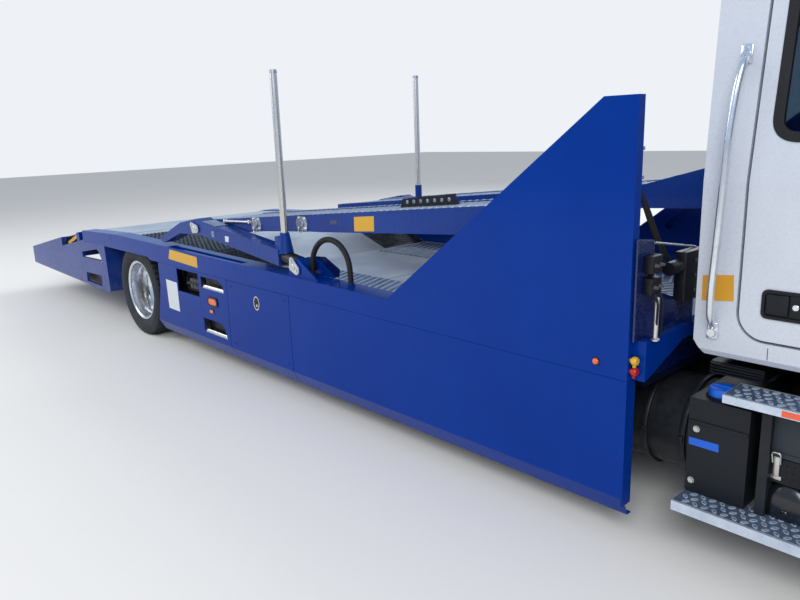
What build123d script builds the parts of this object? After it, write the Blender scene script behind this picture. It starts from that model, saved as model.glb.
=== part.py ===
from build123d import *
import math
import os

os.makedirs("parts", exist_ok=True)

# Whole vehicle: +X forward, +Y to the left, ground at Z = 0, origin under the middle.
# Every other X size is measured ahead of the rear axle.
body_width = 2590
wheelbase = 7350
front_overhang = 1050
tail_overhang = 3455
half_width = body_width / 2
rear_axle_x = -(wheelbase + front_overhang - tail_overhang) / 2
nose = wheelbase + front_overhang
tail = -tail_overhang

# Tyres and wheels, 255/70R22.5
tyre_diameter = 928
tyre_width = 255
tread_width = 205
rim_diameter = 572
rim_flange_diameter = 604
rim_width = 210
rim_wall = 10
wheel_sides = 40
hub_sides = 24
axle_height = tyre_diameter / 2
twin_inset = 295
twin_spacing = 290
rear_track = body_width - 2 * twin_inset
front_inset = 255
front_track = body_width - 2 * front_inset
hub_bore_radius = 45.05
spindle_radius = 45
hand_hole_count = 5
hand_hole_radius = 33
hand_hole_circle = 205

# Cab
cab_to_axle = 490
cab_length = 1200
cab_front = wheelbase - cab_to_axle
cab_rear = cab_front - cab_length
cab_half_width = 1050
cab_low = 950
cab_belt = 1700
cab_roof = 2745
cab_wall = 50
roof_depth = 155
roof_split = cab_roof - roof_depth
screen_foot = 1780
screen_rake = 300
screen_drop = 145
screen_top = cab_roof - screen_drop
screen_head = cab_front - screen_rake
door_rear_inset = 175
door_front_inset = 120
door_drop = 205
door_rear = cab_rear + door_rear_inset
door_front = cab_front - door_front_inset
door_low = cab_low + 95
door_high = cab_roof - door_drop
shut_gap = 12
glass = 6

# Hood
hood_gap = 20
hood_to_nose = 90
hood_rear = cab_front + hood_gap
hood_front = nose - hood_to_nose
hood_low = 760
hood_wall = 12
arch_radius = 540

# Chassis rails and axles
rail_to_nose = 250
rail_outer_y = 430
rail_flange = 80
rail_web = 9
rail_low = 550
rail_high = 800
rail_front = nose - rail_to_nose
kingpin_inset = 160
kingpin_y = front_track / 2 - kingpin_inset
kingpin_radius = 22
spring_width = 76
spring_thickness = 36

# Deck and side beams
skin = 6
side_clearance = 6
beam_depth = 159
apex = -1390
apex_height = 975
rail_rear = apex
beam_crest = -400
beam_crest_height = 1010
cab_gap = 175
beam_front = cab_rear - cab_gap
beam_front_height = 945
beam_low_rear = 855
beam_low = 830
beam_arch_end = 420
beam_box_over_tyre = 945
wheel_clear = 560
deck_plate = 20
deck_drop_start = 1300
deck_drop_end = 1750
deck_low = 820
deck_below_beam = 12
tail_height = 601
tail_beam_height = 130
tail_low = 381

# Fin panel above the front of each side beam
fin_length = 1615
fin_crest_length = 162
fin_foot = beam_front - fin_length
fin_crest = beam_front - fin_crest_length
fin_top = 2066
fin_flange = 52
fin_rib = 40

# Skirts and the doors in them
skirt_fold = 250
skirt_low = 150
skirt_tuck = 55
skirt_rear = 490
tool_door_rear = 1890
tool_door_front = 2800
door_gap = 6
toolbox_depth = 620
toolbox_wall = 4

# Raised wheel runways, called skids, and the arms that lift them
skid_inset = 190
skid_outer_y = half_width - skid_inset
skid_inner_y = 420
skid_beam = 60
skid_tread = 5
skid_rear = 1200
skid_to_beam_front = 495
skid_front = beam_front - skid_to_beam_front
skid_hinge = skid_front - 90
skid_hinge_height = 1450
arm_inset = 45
arm_outer_y = half_width - arm_inset
arm_width = 130
arm_pivot = 2864
arm_pivot_height = 1043
arm_pin = 1355
arm_pin_height = 1204
arm_pin_radius = 25
post_radius = 26

side_view = Plane(origin=(rear_axle_x, 0, 0), x_dir=(1, 0, 0), z_dir=(0, -1, 0))
plan_view = Plane(origin=(rear_axle_x, 0, 0), x_dir=(1, 0, 0), z_dir=(0, 0, 1))
cross_view = Plane(origin=(rear_axle_x, 0, 0), x_dir=(0, 1, 0), z_dir=(1, 0, 0))


def outline(plane, points, radius=0):
    with BuildSketch(plane) as drawn:
        Polygon(*points, align=None)
        if radius:
            fillet(drawn.vertices(), radius)
    return drawn.sketch


def rounded(plane, corners, inset=0):
    # corners: distance ahead or across, height, radius
    with BuildSketch(plane) as drawn:
        Polygon(*[(across, height) for across, height, radius in corners], align=None)
        for wanted in sorted({radius for across, height, radius in corners if radius}):
            spots = [(across, height) for across, height, radius in corners if radius == wanted]
            picked = [vertex for vertex in drawn.vertices()
                      if any(math.hypot(vertex.X - across, vertex.Y - height) < 1 for across, height in spots)]
            fillet(picked, wanted)
        if inset:
            offset(amount=-inset, kind=Kind.INTERSECTION, mode=Mode.REPLACE)
    return drawn.sketch


def block(x_limits, y_limits, z_limits, mode=Mode.ADD):
    limits = (x_limits, y_limits, z_limits)
    middle = [sum(pair) / 2 for pair in limits]
    with Locations((rear_axle_x + middle[0], middle[1], middle[2])):
        Box(*[high - low for low, high in limits], mode=mode)


def rod(start, end, radius, mode=Mode.ADD):
    first = Vector(rear_axle_x + start[0], start[1], start[2])
    way = Vector(*end) - Vector(*start)
    with BuildSketch(Plane(origin=first, z_dir=way)) as section:
        Circle(radius)
    extrude(section.sketch, amount=way.length, mode=mode)


def save(part, name):
    part.label = name
    export_step(part, f"parts/{name}.step")


def other_side(part):
    with BuildPart() as mirrored:
        mirror(part, about=Plane.XZ)
    return mirrored.part


def both_sides(part):
    with BuildPart() as pair:
        add(part)
        mirror(part, about=Plane.XZ)
    return pair.part


def beam_top(x):
    slope = (beam_front_height - beam_crest_height) / (beam_front - beam_crest)
    return beam_crest_height + slope * (x - beam_crest)


# Chassis frame: two C rails, tied by cross members
def rail(side):
    web = sorted((side * (rail_outer_y - rail_web), side * rail_outer_y))
    flange = sorted((side * (rail_outer_y - rail_flange), side * rail_outer_y))
    length = (rail_rear, rail_front)
    block(length, web, (rail_low, rail_high))
    block(length, flange, (rail_high - rail_web, rail_high))
    block(length, flange, (rail_low, rail_low + rail_web))


cross_member_places = (rail_rear + 20, -450, 600, 1700, 2900, 4100, beam_front - 285, cab_rear + 240, rail_front - 130)
cross_member_width = 90
cross_member_low = 725
with BuildPart() as chassis_frame:
    for side in (-1, 1):
        rail(side)
    for place in cross_member_places:
        block((place, place + cross_member_width), (-rail_outer_y + rail_web, rail_outer_y - rail_web),
              (cross_member_low, rail_high - rail_web))
save(chassis_frame.part, "chassis_frame")

# Deck: one folded plate on bolsters, high over the rear axle and low ahead of it
deck_half = half_width - skin - beam_depth
deck_line = [
    (apex, apex_height - deck_below_beam),
    (beam_crest, beam_crest_height - deck_below_beam),
    (deck_drop_start, beam_top(deck_drop_start) - deck_below_beam),
    (deck_drop_end, deck_low),
    (beam_front, deck_low),
]
bolster_places = (-1200, -700, 620, 1180)
bolster_width = 80
outrigger_places = (1790, 2900, 3500, 4100, beam_front - 685)
outrigger_height = 100
end_channel_height = 40


def deck_top(x):
    for (x0, z0), (x1, z1) in zip(deck_line, deck_line[1:]):
        if x0 <= x <= x1:
            return z0 + (z1 - z0) * (x - x0) / (x1 - x0)


with BuildPart() as deck:
    plate = deck_line + [(x, z - deck_plate) for x, z in reversed(deck_line)]
    extrude(outline(side_view, plate), amount=deck_half, both=True)
    for place in bolster_places:
        block((place, place + bolster_width), (-deck_half, deck_half),
              (rail_high, deck_top(place + bolster_width / 2) - deck_plate / 2))
    for place in outrigger_places:
        for side in (-1, 1):
            reach = sorted((side * rail_outer_y, side * deck_half))
            block((place, place + bolster_width), reach,
                  (rail_high - outrigger_height, rail_high))
    for side in (-1, 1):
        reach = sorted((side * rail_outer_y, side * deck_half))
        block((beam_front - bolster_width, beam_front), reach,
              (rail_high - end_channel_height, rail_high))
save(deck.part, "deck")

# Side beams, each with its fin panel
skin_outline = [
    (apex, apex_height),
    (beam_crest, beam_crest_height),
    (fin_foot, beam_top(fin_foot)),
    (fin_crest, fin_top),
    (beam_front, fin_top),
    (beam_front, beam_low),
    (beam_arch_end, beam_low),
    (beam_arch_end - 60, beam_low_rear),
    (apex + 633, beam_low_rear),
    (apex, apex_height - tail_beam_height),
]
box_outline = [
    (apex, apex_height),
    (beam_crest, beam_crest_height),
    (beam_front, beam_front_height),
    (beam_front, deck_low),
    (wheel_clear + 60, deck_low),
    (wheel_clear, beam_box_over_tyre),
    (-wheel_clear, beam_box_over_tyre),
    (-wheel_clear - 60, beam_low_rear),
    (apex + 633, beam_low_rear),
    (apex, apex_height - tail_beam_height),
]
slot_rear = 820
slot_front = 2120
slot_inset = 28
slot_width = 60
slot_depth = 25
rib_lines = (
    ((beam_front - 1135, 950), (beam_front - 45, 1700)),
    ((beam_front - 635, 950), (beam_front - 45, 1350)),
)
fin_slope = (fin_top - beam_top(fin_foot)) / (fin_crest - fin_foot)
inner_fin_drop = 100
inner_fin = [
    (fin_foot + inner_fin_drop / fin_slope, beam_top(fin_foot) - 5), (beam_front - skin, beam_front_height - 5),
    (beam_front - skin, fin_top - inner_fin_drop), (fin_crest, fin_top - inner_fin_drop),
]
fin_slots = ((-1005, 1250), (-635, 1530), (-330, 1400), (-640, 1150))
fin_slot_length = 340
fin_slot_width = 60
cross_head = [
    (-arm_outer_y, beam_low), (-arm_outer_y + 120, 870), (-arm_outer_y + 350, 955), (arm_outer_y - 350, 955),
    (arm_outer_y - 120, 870), (arm_outer_y, beam_low), (arm_outer_y, 1015), (-arm_outer_y, 1015),
]
cross_head_depth = 60
with BuildPart() as side_beam:
    extrude(outline(side_view.offset(half_width - skin), skin_outline), amount=skin)
    extrude(outline(side_view.offset(half_width - skin - beam_depth), box_outline),
            amount=beam_depth)
    block((slot_rear, slot_front), (-half_width + slot_inset, -half_width + slot_inset + slot_width),
          (beam_top(slot_front) - slot_depth, beam_top(slot_rear) + slot_depth), Mode.SUBTRACT)
    block((beam_front - skin, beam_front), (-half_width, -half_width + fin_flange),
          (beam_front_height, fin_top))
    block((fin_crest, beam_front), (-half_width, -half_width + fin_flange),
          (fin_top - skin, fin_top))
    for start, end in rib_lines:
        with BuildSketch(side_view.offset(half_width - skin - fin_rib)) as rib:
            with BuildLine():
                Line(start, end)
            trace(line_width=fin_rib * 2)
        extrude(rib.sketch, amount=fin_rib)
    extrude(outline(side_view.offset(half_width - 2 * skin - fin_rib), inner_fin), amount=skin)
    with BuildSketch(side_view.offset(half_width - 2 * skin - fin_rib - 1)) as fin_openings:
        for behind, height in fin_slots:
            with Locations((beam_front + behind, height)):
                SlotOverall(fin_slot_length, fin_slot_width, rotation=math.degrees(math.atan(fin_slope)))
    extrude(fin_openings.sketch, amount=skin + 2, mode=Mode.SUBTRACT)
with BuildPart() as hinge_boss:
    rod((skid_hinge, -(skid_outer_y + 2), skid_hinge_height),
        (skid_hinge, -(half_width - skin), skid_hinge_height), 45)
    rod((skid_hinge, -(skid_outer_y - skid_beam), skid_hinge_height),
        (skid_hinge, -(half_width - skin), skid_hinge_height), 25)
with BuildPart() as pivot_bracket:
    cheek = [(arm_pivot - 90, beam_top(arm_pivot) - 5), (arm_pivot - 50, arm_pivot_height + 40),
             (arm_pivot + 40, arm_pivot_height + 60), (arm_pivot + 270, beam_top(arm_pivot) - 5)]
    for near in (arm_outer_y, arm_outer_y - arm_width - 14):
        extrude(outline(side_view.offset(near), cheek), amount=14)
    rod((arm_pivot, -(arm_outer_y - arm_width - 14), arm_pivot_height),
        (arm_pivot, -(arm_outer_y + 22), arm_pivot_height), arm_pin_radius)
with BuildPart() as side_beam_whole:
    add(side_beam.part)
    add(hinge_boss.part)
    add(pivot_bracket.part)
hose_radius = 20
hose_sides = 12
gland_height = 14
hose_rear_low = beam_top(2960) + gland_height
hose_front_low = beam_top(3415) + gland_height
with BuildPart() as side_beams:
    add(both_sides(side_beam_whole.part))
    extrude(outline(cross_view.offset(beam_front), cross_head), amount=cross_head_depth)
    for x, y, high in ((2960, -1180, hose_rear_low), (3415, -1200, hose_front_low)):
        rod((x, y, high - gland_height - 8), (x, y, high), hose_radius + 8)
save(side_beams.part, "side_beams")

# Skirts: a skin with its lower edge tucked in, and a toolbox behind the door
skirt_top = beam_low - 2
tuck_section = [
    (-half_width, skirt_top), (-half_width, skirt_fold), (-half_width + skirt_tuck, skirt_low),
    (-half_width + skirt_tuck + 30, skirt_low), (-half_width + skirt_tuck + 30, skirt_low + skin),
    (-half_width + skirt_tuck + 3, skirt_low + skin), (-half_width + skin, skirt_fold + 2),
    (-half_width + skin, skirt_top),
]
recess = ((985, 1395), (608, 815))
vent_high = [(1445, 700), (1835, 700), (1820, 770), (1760, 800), (1445, 800)]
vent_low = [(1435, 305), (1835, 305), (1800, 400), (1730, 430), (1435, 430)]
box_inner_y = half_width - skin - toolbox_depth
tool_hinge_places = (2000, 2620)
tool_hinge_length = 35
tool_hinge_y = -half_width + skirt_tuck + 28
tool_hinge_z = skirt_low + 3
with BuildPart() as skirt:
    for rear, front in ((skirt_rear, tool_door_rear), (tool_door_front, beam_front)):
        extrude(outline(cross_view.offset(rear), tuck_section), amount=front - rear)
    wedge = [(skirt_rear - 10, skirt_top + 10), (skirt_rear - 10, skirt_low - 10),
             (skirt_rear, skirt_low - 10), (skirt_rear, skirt_fold), (600, 605), (600, skirt_top + 10)]
    extrude(outline(side_view.offset(half_width - 200), wedge), amount=300, mode=Mode.SUBTRACT)
    block(recess[0], (-half_width - 1, -half_width + skin + 1), recess[1], Mode.SUBTRACT)
    for vent in (vent_high, vent_low):
        extrude(outline(side_view.offset(half_width - skin - 1), vent), amount=skin + 2,
                mode=Mode.SUBTRACT)
    block((beam_front - skin, beam_front), (-half_width, -half_width + 75),
          (skirt_fold - 40, deck_low))
    box_x = (tool_door_rear - 20, tool_door_front + 20)
    box_y = (-half_width + skin, -box_inner_y)
    box_z = (skirt_fold + 20, rail_high - toolbox_wall)
    block(box_x, box_y, box_z)
    block((tool_door_rear + 25, tool_door_front - 25), (-half_width, -box_inner_y - toolbox_wall),
          (box_z[0] + toolbox_wall, box_z[1] - toolbox_wall), Mode.SUBTRACT)
    block((tool_door_rear, tool_door_front), (-half_width - 1, -half_width + skin + 2),
          (0, beam_low), Mode.SUBTRACT)
    for place in tool_hinge_places:
        strap_x = (place + tool_hinge_length + 0.3, place + 2 * tool_hinge_length)
        block(strap_x, (tool_hinge_y + 2, tool_hinge_y + 8), (tool_hinge_z, box_z[0]))
        rod((strap_x[0], tool_hinge_y, tool_hinge_z), (strap_x[1], tool_hinge_y, tool_hinge_z), 8)
save(both_sides(skirt.part), "skirts")

# Tool doors, hinged along the lower edge
door_x = (tool_door_rear + door_gap, tool_door_front - door_gap)
with BuildPart() as tool_door:
    panel = [
        (-half_width, skirt_top - door_gap), (-half_width, skirt_fold),
        (-half_width + skirt_tuck, skirt_low), (-half_width + skirt_tuck + 20, skirt_low),
        (-half_width + skirt_tuck + 20, skirt_low + skin), (-half_width + skirt_tuck + 3, skirt_low + skin),
        (-half_width + skin, skirt_fold + 2), (-half_width + skin, skirt_top - door_gap),
    ]
    extrude(outline(cross_view.offset(door_x[0]), panel), amount=door_x[1] - door_x[0])
    block((door_x[0] + 45, door_x[1] - 45), (-half_width + skin, -half_width + skin + 14),
          (skirt_fold + 60, skirt_top - 90))
    with BuildSketch(side_view.offset(half_width)) as lock:
        with Locations((2350, 700)):
            SlotOverall(90, 60, rotation=90)
    extrude(lock.sketch, amount=-3, mode=Mode.SUBTRACT)
    for place in tool_hinge_places:
        block((place, place + tool_hinge_length), (-half_width + skirt_tuck + 15, tool_hinge_y),
              (skirt_low, skirt_low + skin))
        rod((place, tool_hinge_y, tool_hinge_z), (place + tool_hinge_length, tool_hinge_y, tool_hinge_z), 8)
save(tool_door.part, "tool_door_right")
save(other_side(tool_door.part), "tool_door_left")

# Tail: sloping deck, its beams, window panels and the rear cross member
tail_slope = (apex_height - tail_height) / (apex - tail)
with BuildPart() as tail_frame:
    tail_band = [(tail, tail_height), (apex, apex_height),
                 (apex, apex_height - tail_beam_height), (tail, tail_height - tail_beam_height)]
    panel = [(tail, tail_height - tail_beam_height), (apex, apex_height - tail_beam_height),
             (apex + 633, beam_low_rear), (apex + 656, 334), (tail + 24, tail_low)]
    pocket_rear = -2180
    pocket_front = -1395
    pocket_depth = 105
    pocket_reach = 100
    guard_low = 350
    guard_depth = 545
    guard_high = beam_low_rear - 5
    guard_slope = (656 - 633) / (beam_low_rear - 334)
    guard_edge = [(apex + 633 + guard_slope * (beam_low_rear - z), z) for z in (guard_high, guard_low)]
    guard = guard_edge + [(x - skin, z) for x, z in reversed(guard_edge)]
    window_high = [(-1490, 655), (-1490, 727), (-1020, 800), (-960, 790), (-855, 672)]
    window_low = [(-1440, 375), (-1440, 493), (-945, 508), (-955, 372)]
    for side in (-1, 1):
        face = side_view.offset(half_width - beam_depth if side < 0 else -half_width)
        extrude(outline(face, tail_band), amount=beam_depth)
        face = side_view.offset(half_width - skin if side < 0 else -half_width)
        extrude(outline(face, panel), amount=skin)
        for window in (window_high, window_low):
            face = side_view.offset(half_width - 20 if side < 0 else -half_width - 20)
            extrude(outline(face, window), amount=40, mode=Mode.SUBTRACT)
        face = side_view.offset(half_width - guard_depth if side < 0 else -half_width)
        extrude(outline(face, guard), amount=guard_depth)
        keel = sorted((side * 350, side * rail_outer_y))
        face = side_view.offset(-keel[1])
        strut = [(tail + 20, tail_height - 150), (tail + 20, tail_height - 30), (apex, apex_height - 40),
                 (apex, rail_low + 60)]
        extrude(outline(face, strut), amount=keel[1] - keel[0])
    slab = [(tail, tail_height - deck_below_beam), (apex, apex_height - deck_below_beam),
            (apex, apex_height - deck_below_beam - deck_plate),
            (tail, tail_height - deck_below_beam - deck_plate)]
    extrude(outline(side_view, slab), amount=half_width - beam_depth + 5, both=True)
    block((tail, tail + 70), (-half_width, half_width), (tail_low, tail_height - deck_below_beam - deck_plate / 2))
    for side in (-1, 1):
        for inset in (160, 330, 500):
            rod((tail, side * (half_width - inset), 480), (tail + 25, side * (half_width - inset), 480), 55,
                Mode.SUBTRACT)
    pocket = []
    for x, drop in ((pocket_rear, pocket_depth), (pocket_front, pocket_depth), (pocket_front, -20),
                    (pocket_rear, -20)):
        pocket.append((x, tail_height + tail_slope * (x - tail) - drop))
    for outer in (half_width - pocket_reach, -half_width):
        extrude(outline(side_view.offset(outer), pocket), amount=pocket_reach, mode=Mode.SUBTRACT)
    for place in (-2900, -2350, -1800):
        middle = place + bolster_width / 2
        high = tail_height + tail_slope * (middle - tail) - deck_below_beam - deck_plate / 2
        block((place, place + bolster_width), (-half_width + beam_depth, half_width - beam_depth),
              (high - 100, high))
save(tail_frame.part, "tail_frame")

# Marker and tail lamps
with BuildPart() as marker_lamps:
    for side in (-1, 1):
        for inset in (160, 330, 500):
            rod((tail, side * (half_width - inset), 480), (tail + 25, side * (half_width - inset), 480), 55)
        rod((beam_front - 159, side * half_width, 893), (beam_front - 159, side * (half_width + 16), 893), 17)
        rod((1633, side * half_width, 600), (1633, side * (half_width + 12), 600), 40)
save(marker_lamps.part, "marker_lamps")

# Turned forms with flat sides: rings give the place across the wheel and the radius
def faceted(rings, middle, centre_x, sides=wheel_sides, mode=Mode.ADD):
    sections = []
    for across, radius in rings:
        origin = (rear_axle_x + centre_x, middle + across, axle_height)
        with BuildSketch(Plane(origin=origin, x_dir=(1, 0, 0), z_dir=(0, 1, 0))) as ring:
            RegularPolygon(radius, sides)
        sections.append(ring.sketch)
    loft(sections, ruled=True, mode=mode)


def mirrored_rings(rings):
    return rings + [(-across, radius) for across, radius in reversed(rings)]


# Tyres: tread, shoulders, sidewalls and beads
bead_radius = rim_diameter / 2 + 4
seat_clearance = 0.5
shoulder = tyre_diameter / 2 - 22
waist = (tyre_diameter + rim_diameter) / 4
half_tread = tread_width / 2
half_tyre = tyre_width / 2
half_bead = rim_width / 2 - 6.5
lip_radius = rim_flange_diameter / 2 + 2
tyre_rings = mirrored_rings([
    (-half_bead, lip_radius), (-half_tyre, waist), (-half_tyre + 8, shoulder),
    (-half_tread, tyre_diameter / 2 - 4), (-half_tread + 25, tyre_diameter / 2),
])
rear_wheel_middles = (-(rear_track + twin_spacing) / 2, -(rear_track - twin_spacing) / 2)


def tyre(middle, centre_x):
    faceted(tyre_rings, middle, centre_x)
    faceted([(-half_tyre, bead_radius), (half_tyre, bead_radius)], middle, centre_x, mode=Mode.SUBTRACT)


with BuildPart() as rear_tyres_right:
    for middle in rear_wheel_middles:
        tyre(middle, 0)
save(rear_tyres_right.part, "rear_tyres_right")
save(other_side(rear_tyres_right.part), "rear_tyres_left")
with BuildPart() as front_tyre_right:
    tyre(-front_track / 2, wheelbase)
save(front_tyre_right.part, "front_tyre_right")
save(other_side(front_tyre_right.part), "front_tyre_left")


# Rims: a barrel with two flanges and a dished disc
seat = bead_radius - seat_clearance
flange = 6


def barrel(middle, centre_x):
    half = rim_width / 2
    lip = rim_flange_diameter / 2
    faceted([(-half, lip), (-half + flange, lip)], middle, centre_x)
    faceted([(-half + flange, seat), (half - flange, seat)], middle, centre_x)
    faceted([(half - flange, lip), (half, lip)], middle, centre_x)
    faceted([(-half - 1, seat - rim_wall), (half + 1, seat - rim_wall)], middle, centre_x, mode=Mode.SUBTRACT)


def hand_holes(middle, centre_x, thickness):
    plane = Plane(origin=(rear_axle_x + centre_x, middle, axle_height), x_dir=(1, 0, 0), z_dir=(0, 1, 0))
    with BuildSketch(plane) as holes:
        with PolarLocations(hand_hole_circle, hand_hole_count, start_angle=20):
            Circle(hand_hole_radius)
    extrude(holes.sketch, amount=thickness, both=True, mode=Mode.SUBTRACT)


def hub_bore(middle, centre_x, start, end):
    rod((centre_x, middle + start, axle_height), (centre_x, middle + end, axle_height), hub_bore_radius,
        Mode.SUBTRACT)


disc = 12
disc_rise = 43
disc_seat = seat - rim_wall / 2
disc_edge = 235
disc_slope = (disc_seat - disc_edge) / disc_rise
rear_hub = [(-110, 85), (-70, 105), (disc, 110), (170, 200)]
with BuildPart() as rear_barrels:
    for middle in rear_wheel_middles:
        barrel(middle, 0)
with BuildPart() as rear_disc:
    faceted([(-disc - disc_rise, disc_seat), (-disc_rise, disc_seat), (0, disc_edge + 10), (disc_rise, disc_seat),
             (disc + disc_rise, disc_seat)], -rear_track / 2, 0)
    for side in (-1, 1):
        faceted([(side * disc, disc_edge), (side * (disc + disc_rise + 1), disc_seat + disc_slope)],
                -rear_track / 2, 0, mode=Mode.SUBTRACT)
    hand_holes(-rear_track / 2, 0, 40)
with BuildPart() as rear_rims_right:
    add(rear_barrels.part)
    add(rear_disc.part)
    faceted(rear_hub, -rear_track / 2, 0, hub_sides)
    hub_bore(-rear_track / 2, 0, -60, 171)
save(rear_rims_right.part, "rear_rims_right")
save(other_side(rear_rims_right.part), "rear_rims_left")
front_disc = 125
front_hub = [(-front_disc - 70, 60), (-front_disc, 90), (-front_disc + disc, 120), (20, 200)]
with BuildPart() as front_barrel:
    barrel(-front_track / 2, wheelbase)
with BuildPart() as front_dish:
    faceted([(-front_disc, 210), (-front_disc + 60, disc_seat), (-front_disc + 75, disc_seat)],
            -front_track / 2, wheelbase)
    faceted([(-front_disc + disc, 215), (-front_disc + 76, disc_seat + 1)], -front_track / 2, wheelbase,
            mode=Mode.SUBTRACT)
    hand_holes(-front_track / 2 - front_disc + 6, wheelbase, 40)
with BuildPart() as front_rim_right:
    add(front_barrel.part)
    add(front_dish.part)
    faceted(front_hub, -front_track / 2, wheelbase, hub_sides)
    hub_bore(-front_track / 2, wheelbase, -front_disc - 20, 21)
save(front_rim_right.part, "front_rim_right")
save(other_side(front_rim_right.part), "front_rim_left")


# Axles
def leaf_spring(centre_x, y, eye_height, sag, span):
    high = Vector(0, 0)
    with BuildSketch(side_view.offset(-y - spring_width / 2)) as leaves:
        with BuildLine() as line:
            ThreePointArc((centre_x - span, eye_height), (centre_x, eye_height - sag),
                          (centre_x + span, eye_height))
        trace(line_width=spring_thickness)
    extrude(leaves.sketch, amount=spring_width)


rear_spring_y = 530
with BuildPart() as rear_axle:
    rod((0, -rear_track / 2 + 260, axle_height), (0, rear_track / 2 - 260, axle_height), 65)
    rod((0, -rear_track / 2 - 50, axle_height), (0, rear_track / 2 + 50, axle_height), spindle_radius)
    with BuildSketch(Plane(origin=(rear_axle_x, 0, axle_height), x_dir=(1, 0, 0), z_dir=(0, 1, 0))):
        Circle(190)
    extrude(amount=110, both=True)
    rod((100, 0, axle_height), (250, 0, axle_height), 75)
    for side in (-1, 1):
        leaf_spring(0, side * rear_spring_y, 640, 90, 620)
        seat_y = sorted((side * (rear_spring_y - 45), side * (rear_spring_y + 45)))
        block((-70, 70), seat_y, (axle_height, 545))
        for end in (-620, 620):
            hanger = sorted((side * rail_outer_y, side * (rear_spring_y + spring_width / 2)))
            block((end - 40, end + 40), hanger, (600, 760))
save(rear_axle.part, "rear_axle")

front_spring_y = 480
beam_drop = 70
with BuildPart() as front_axle:
    half_dropped = [
        (kingpin_y - 260, axle_height - beam_drop + 45), (kingpin_y - 120, axle_height + 45),
        (kingpin_y - 60, axle_height + 60), (kingpin_y - 60, axle_height - 60),
        (kingpin_y - 140, axle_height - 45), (kingpin_y - 280, axle_height - beam_drop - 45),
    ]
    dropped = half_dropped + [(-y, z) for y, z in reversed(half_dropped)]
    extrude(outline(cross_view.offset(wheelbase), dropped), amount=50, both=True)
    for side in (-1, 1):
        rod((wheelbase, side * kingpin_y, axle_height - 60), (wheelbase, side * kingpin_y, axle_height + 60), 52)
        block((wheelbase - 40, wheelbase + 40), sorted((side * (kingpin_y - 80), side * kingpin_y)),
              (axle_height - 60, axle_height + 60))
        rod((wheelbase, side * kingpin_y, axle_height - 115), (wheelbase, side * kingpin_y, axle_height + 115),
            kingpin_radius)
        leaf_spring(wheelbase, side * front_spring_y, 560, 90, 640)
        seat_y = sorted((side * (front_spring_y - 45), side * (front_spring_y + 45)))
        block((wheelbase - 60, wheelbase + 60), seat_y, (axle_height - beam_drop, 465))
        for end in (-640, 640):
            hanger = sorted((side * rail_outer_y, side * (front_spring_y + spring_width / 2)))
            block((wheelbase + end - 35, wheelbase + end + 35), hanger, (520, 700))
save(front_axle.part, "front_axle")

# Knuckles: a yoke round the kingpin, the spindle and the tie rod's arm
arm_ball_back = 190
arm_ball_in = 100
arm_ball_height = 330
with BuildPart() as knuckle_right:
    for low, high in ((-115, -66), (66, 115)):
        rod((wheelbase, -kingpin_y, axle_height + low), (wheelbase, -kingpin_y, axle_height + high), 52)
    block((wheelbase - 50, wheelbase + 50), (-kingpin_y - 90, -kingpin_y - 58),
          (axle_height - 115, axle_height + 115))
    for low, high in ((-115, -66), (66, 115)):
        block((wheelbase - 50, wheelbase + 50), (-kingpin_y - 90, -kingpin_y),
              (axle_height + low, axle_height + high))
    rod((wheelbase, -kingpin_y - 60, axle_height), (wheelbase, -kingpin_y - 260, axle_height), spindle_radius)
    block((wheelbase - arm_ball_back, wheelbase - 20), (-kingpin_y + arm_ball_in - 25, -kingpin_y + arm_ball_in + 25),
          (arm_ball_height, arm_ball_height + 30))
    block((wheelbase - 60, wheelbase - 20), (-kingpin_y - 30, -kingpin_y + arm_ball_in + 25),
          (arm_ball_height, arm_ball_height + 30))
    rod((wheelbase - arm_ball_back, -kingpin_y + arm_ball_in, arm_ball_height + 30),
        (wheelbase - arm_ball_back, -kingpin_y + arm_ball_in, arm_ball_height), 25)
    rod((wheelbase, -kingpin_y, arm_ball_height - 10), (wheelbase, -kingpin_y, axle_height + 120),
        kingpin_radius + 0.05, Mode.SUBTRACT)
save(knuckle_right.part, "knuckle_right")
save(other_side(knuckle_right.part), "knuckle_left")

# Tie rod below the arms
rod_end = kingpin_y - arm_ball_in
with BuildPart() as tie_rod:
    rod((wheelbase - arm_ball_back, -rod_end, arm_ball_height - 36),
        (wheelbase - arm_ball_back, rod_end, arm_ball_height - 36), 20)
    for side in (-1, 1):
        rod((wheelbase - arm_ball_back, side * rod_end, arm_ball_height - 66),
            (wheelbase - arm_ball_back, side * rod_end, arm_ball_height - 0.3), 28)
save(tie_rod.part, "tie_rod")

# Engine block, gearbox, shaft and radiator
engine_half = rail_outer_y - rail_flange
engine_rear = hood_rear + 50
gearbox_rear = engine_rear - 630
shaft_radius = 50
radiator_rear = hood_front - 350
with BuildPart() as engine:
    block((engine_rear, engine_rear + 950), (-engine_half, engine_half), (rail_low + 60, 1380))
    block((gearbox_rear, engine_rear), (-220, 220), (560, 900))
    rod((gearbox_rear, 0, 640), (252, 0, axle_height), shaft_radius)
    block((radiator_rear, radiator_rear + 60), (-410, 410), (rail_high, 1400))
save(engine.part, "engine")

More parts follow.
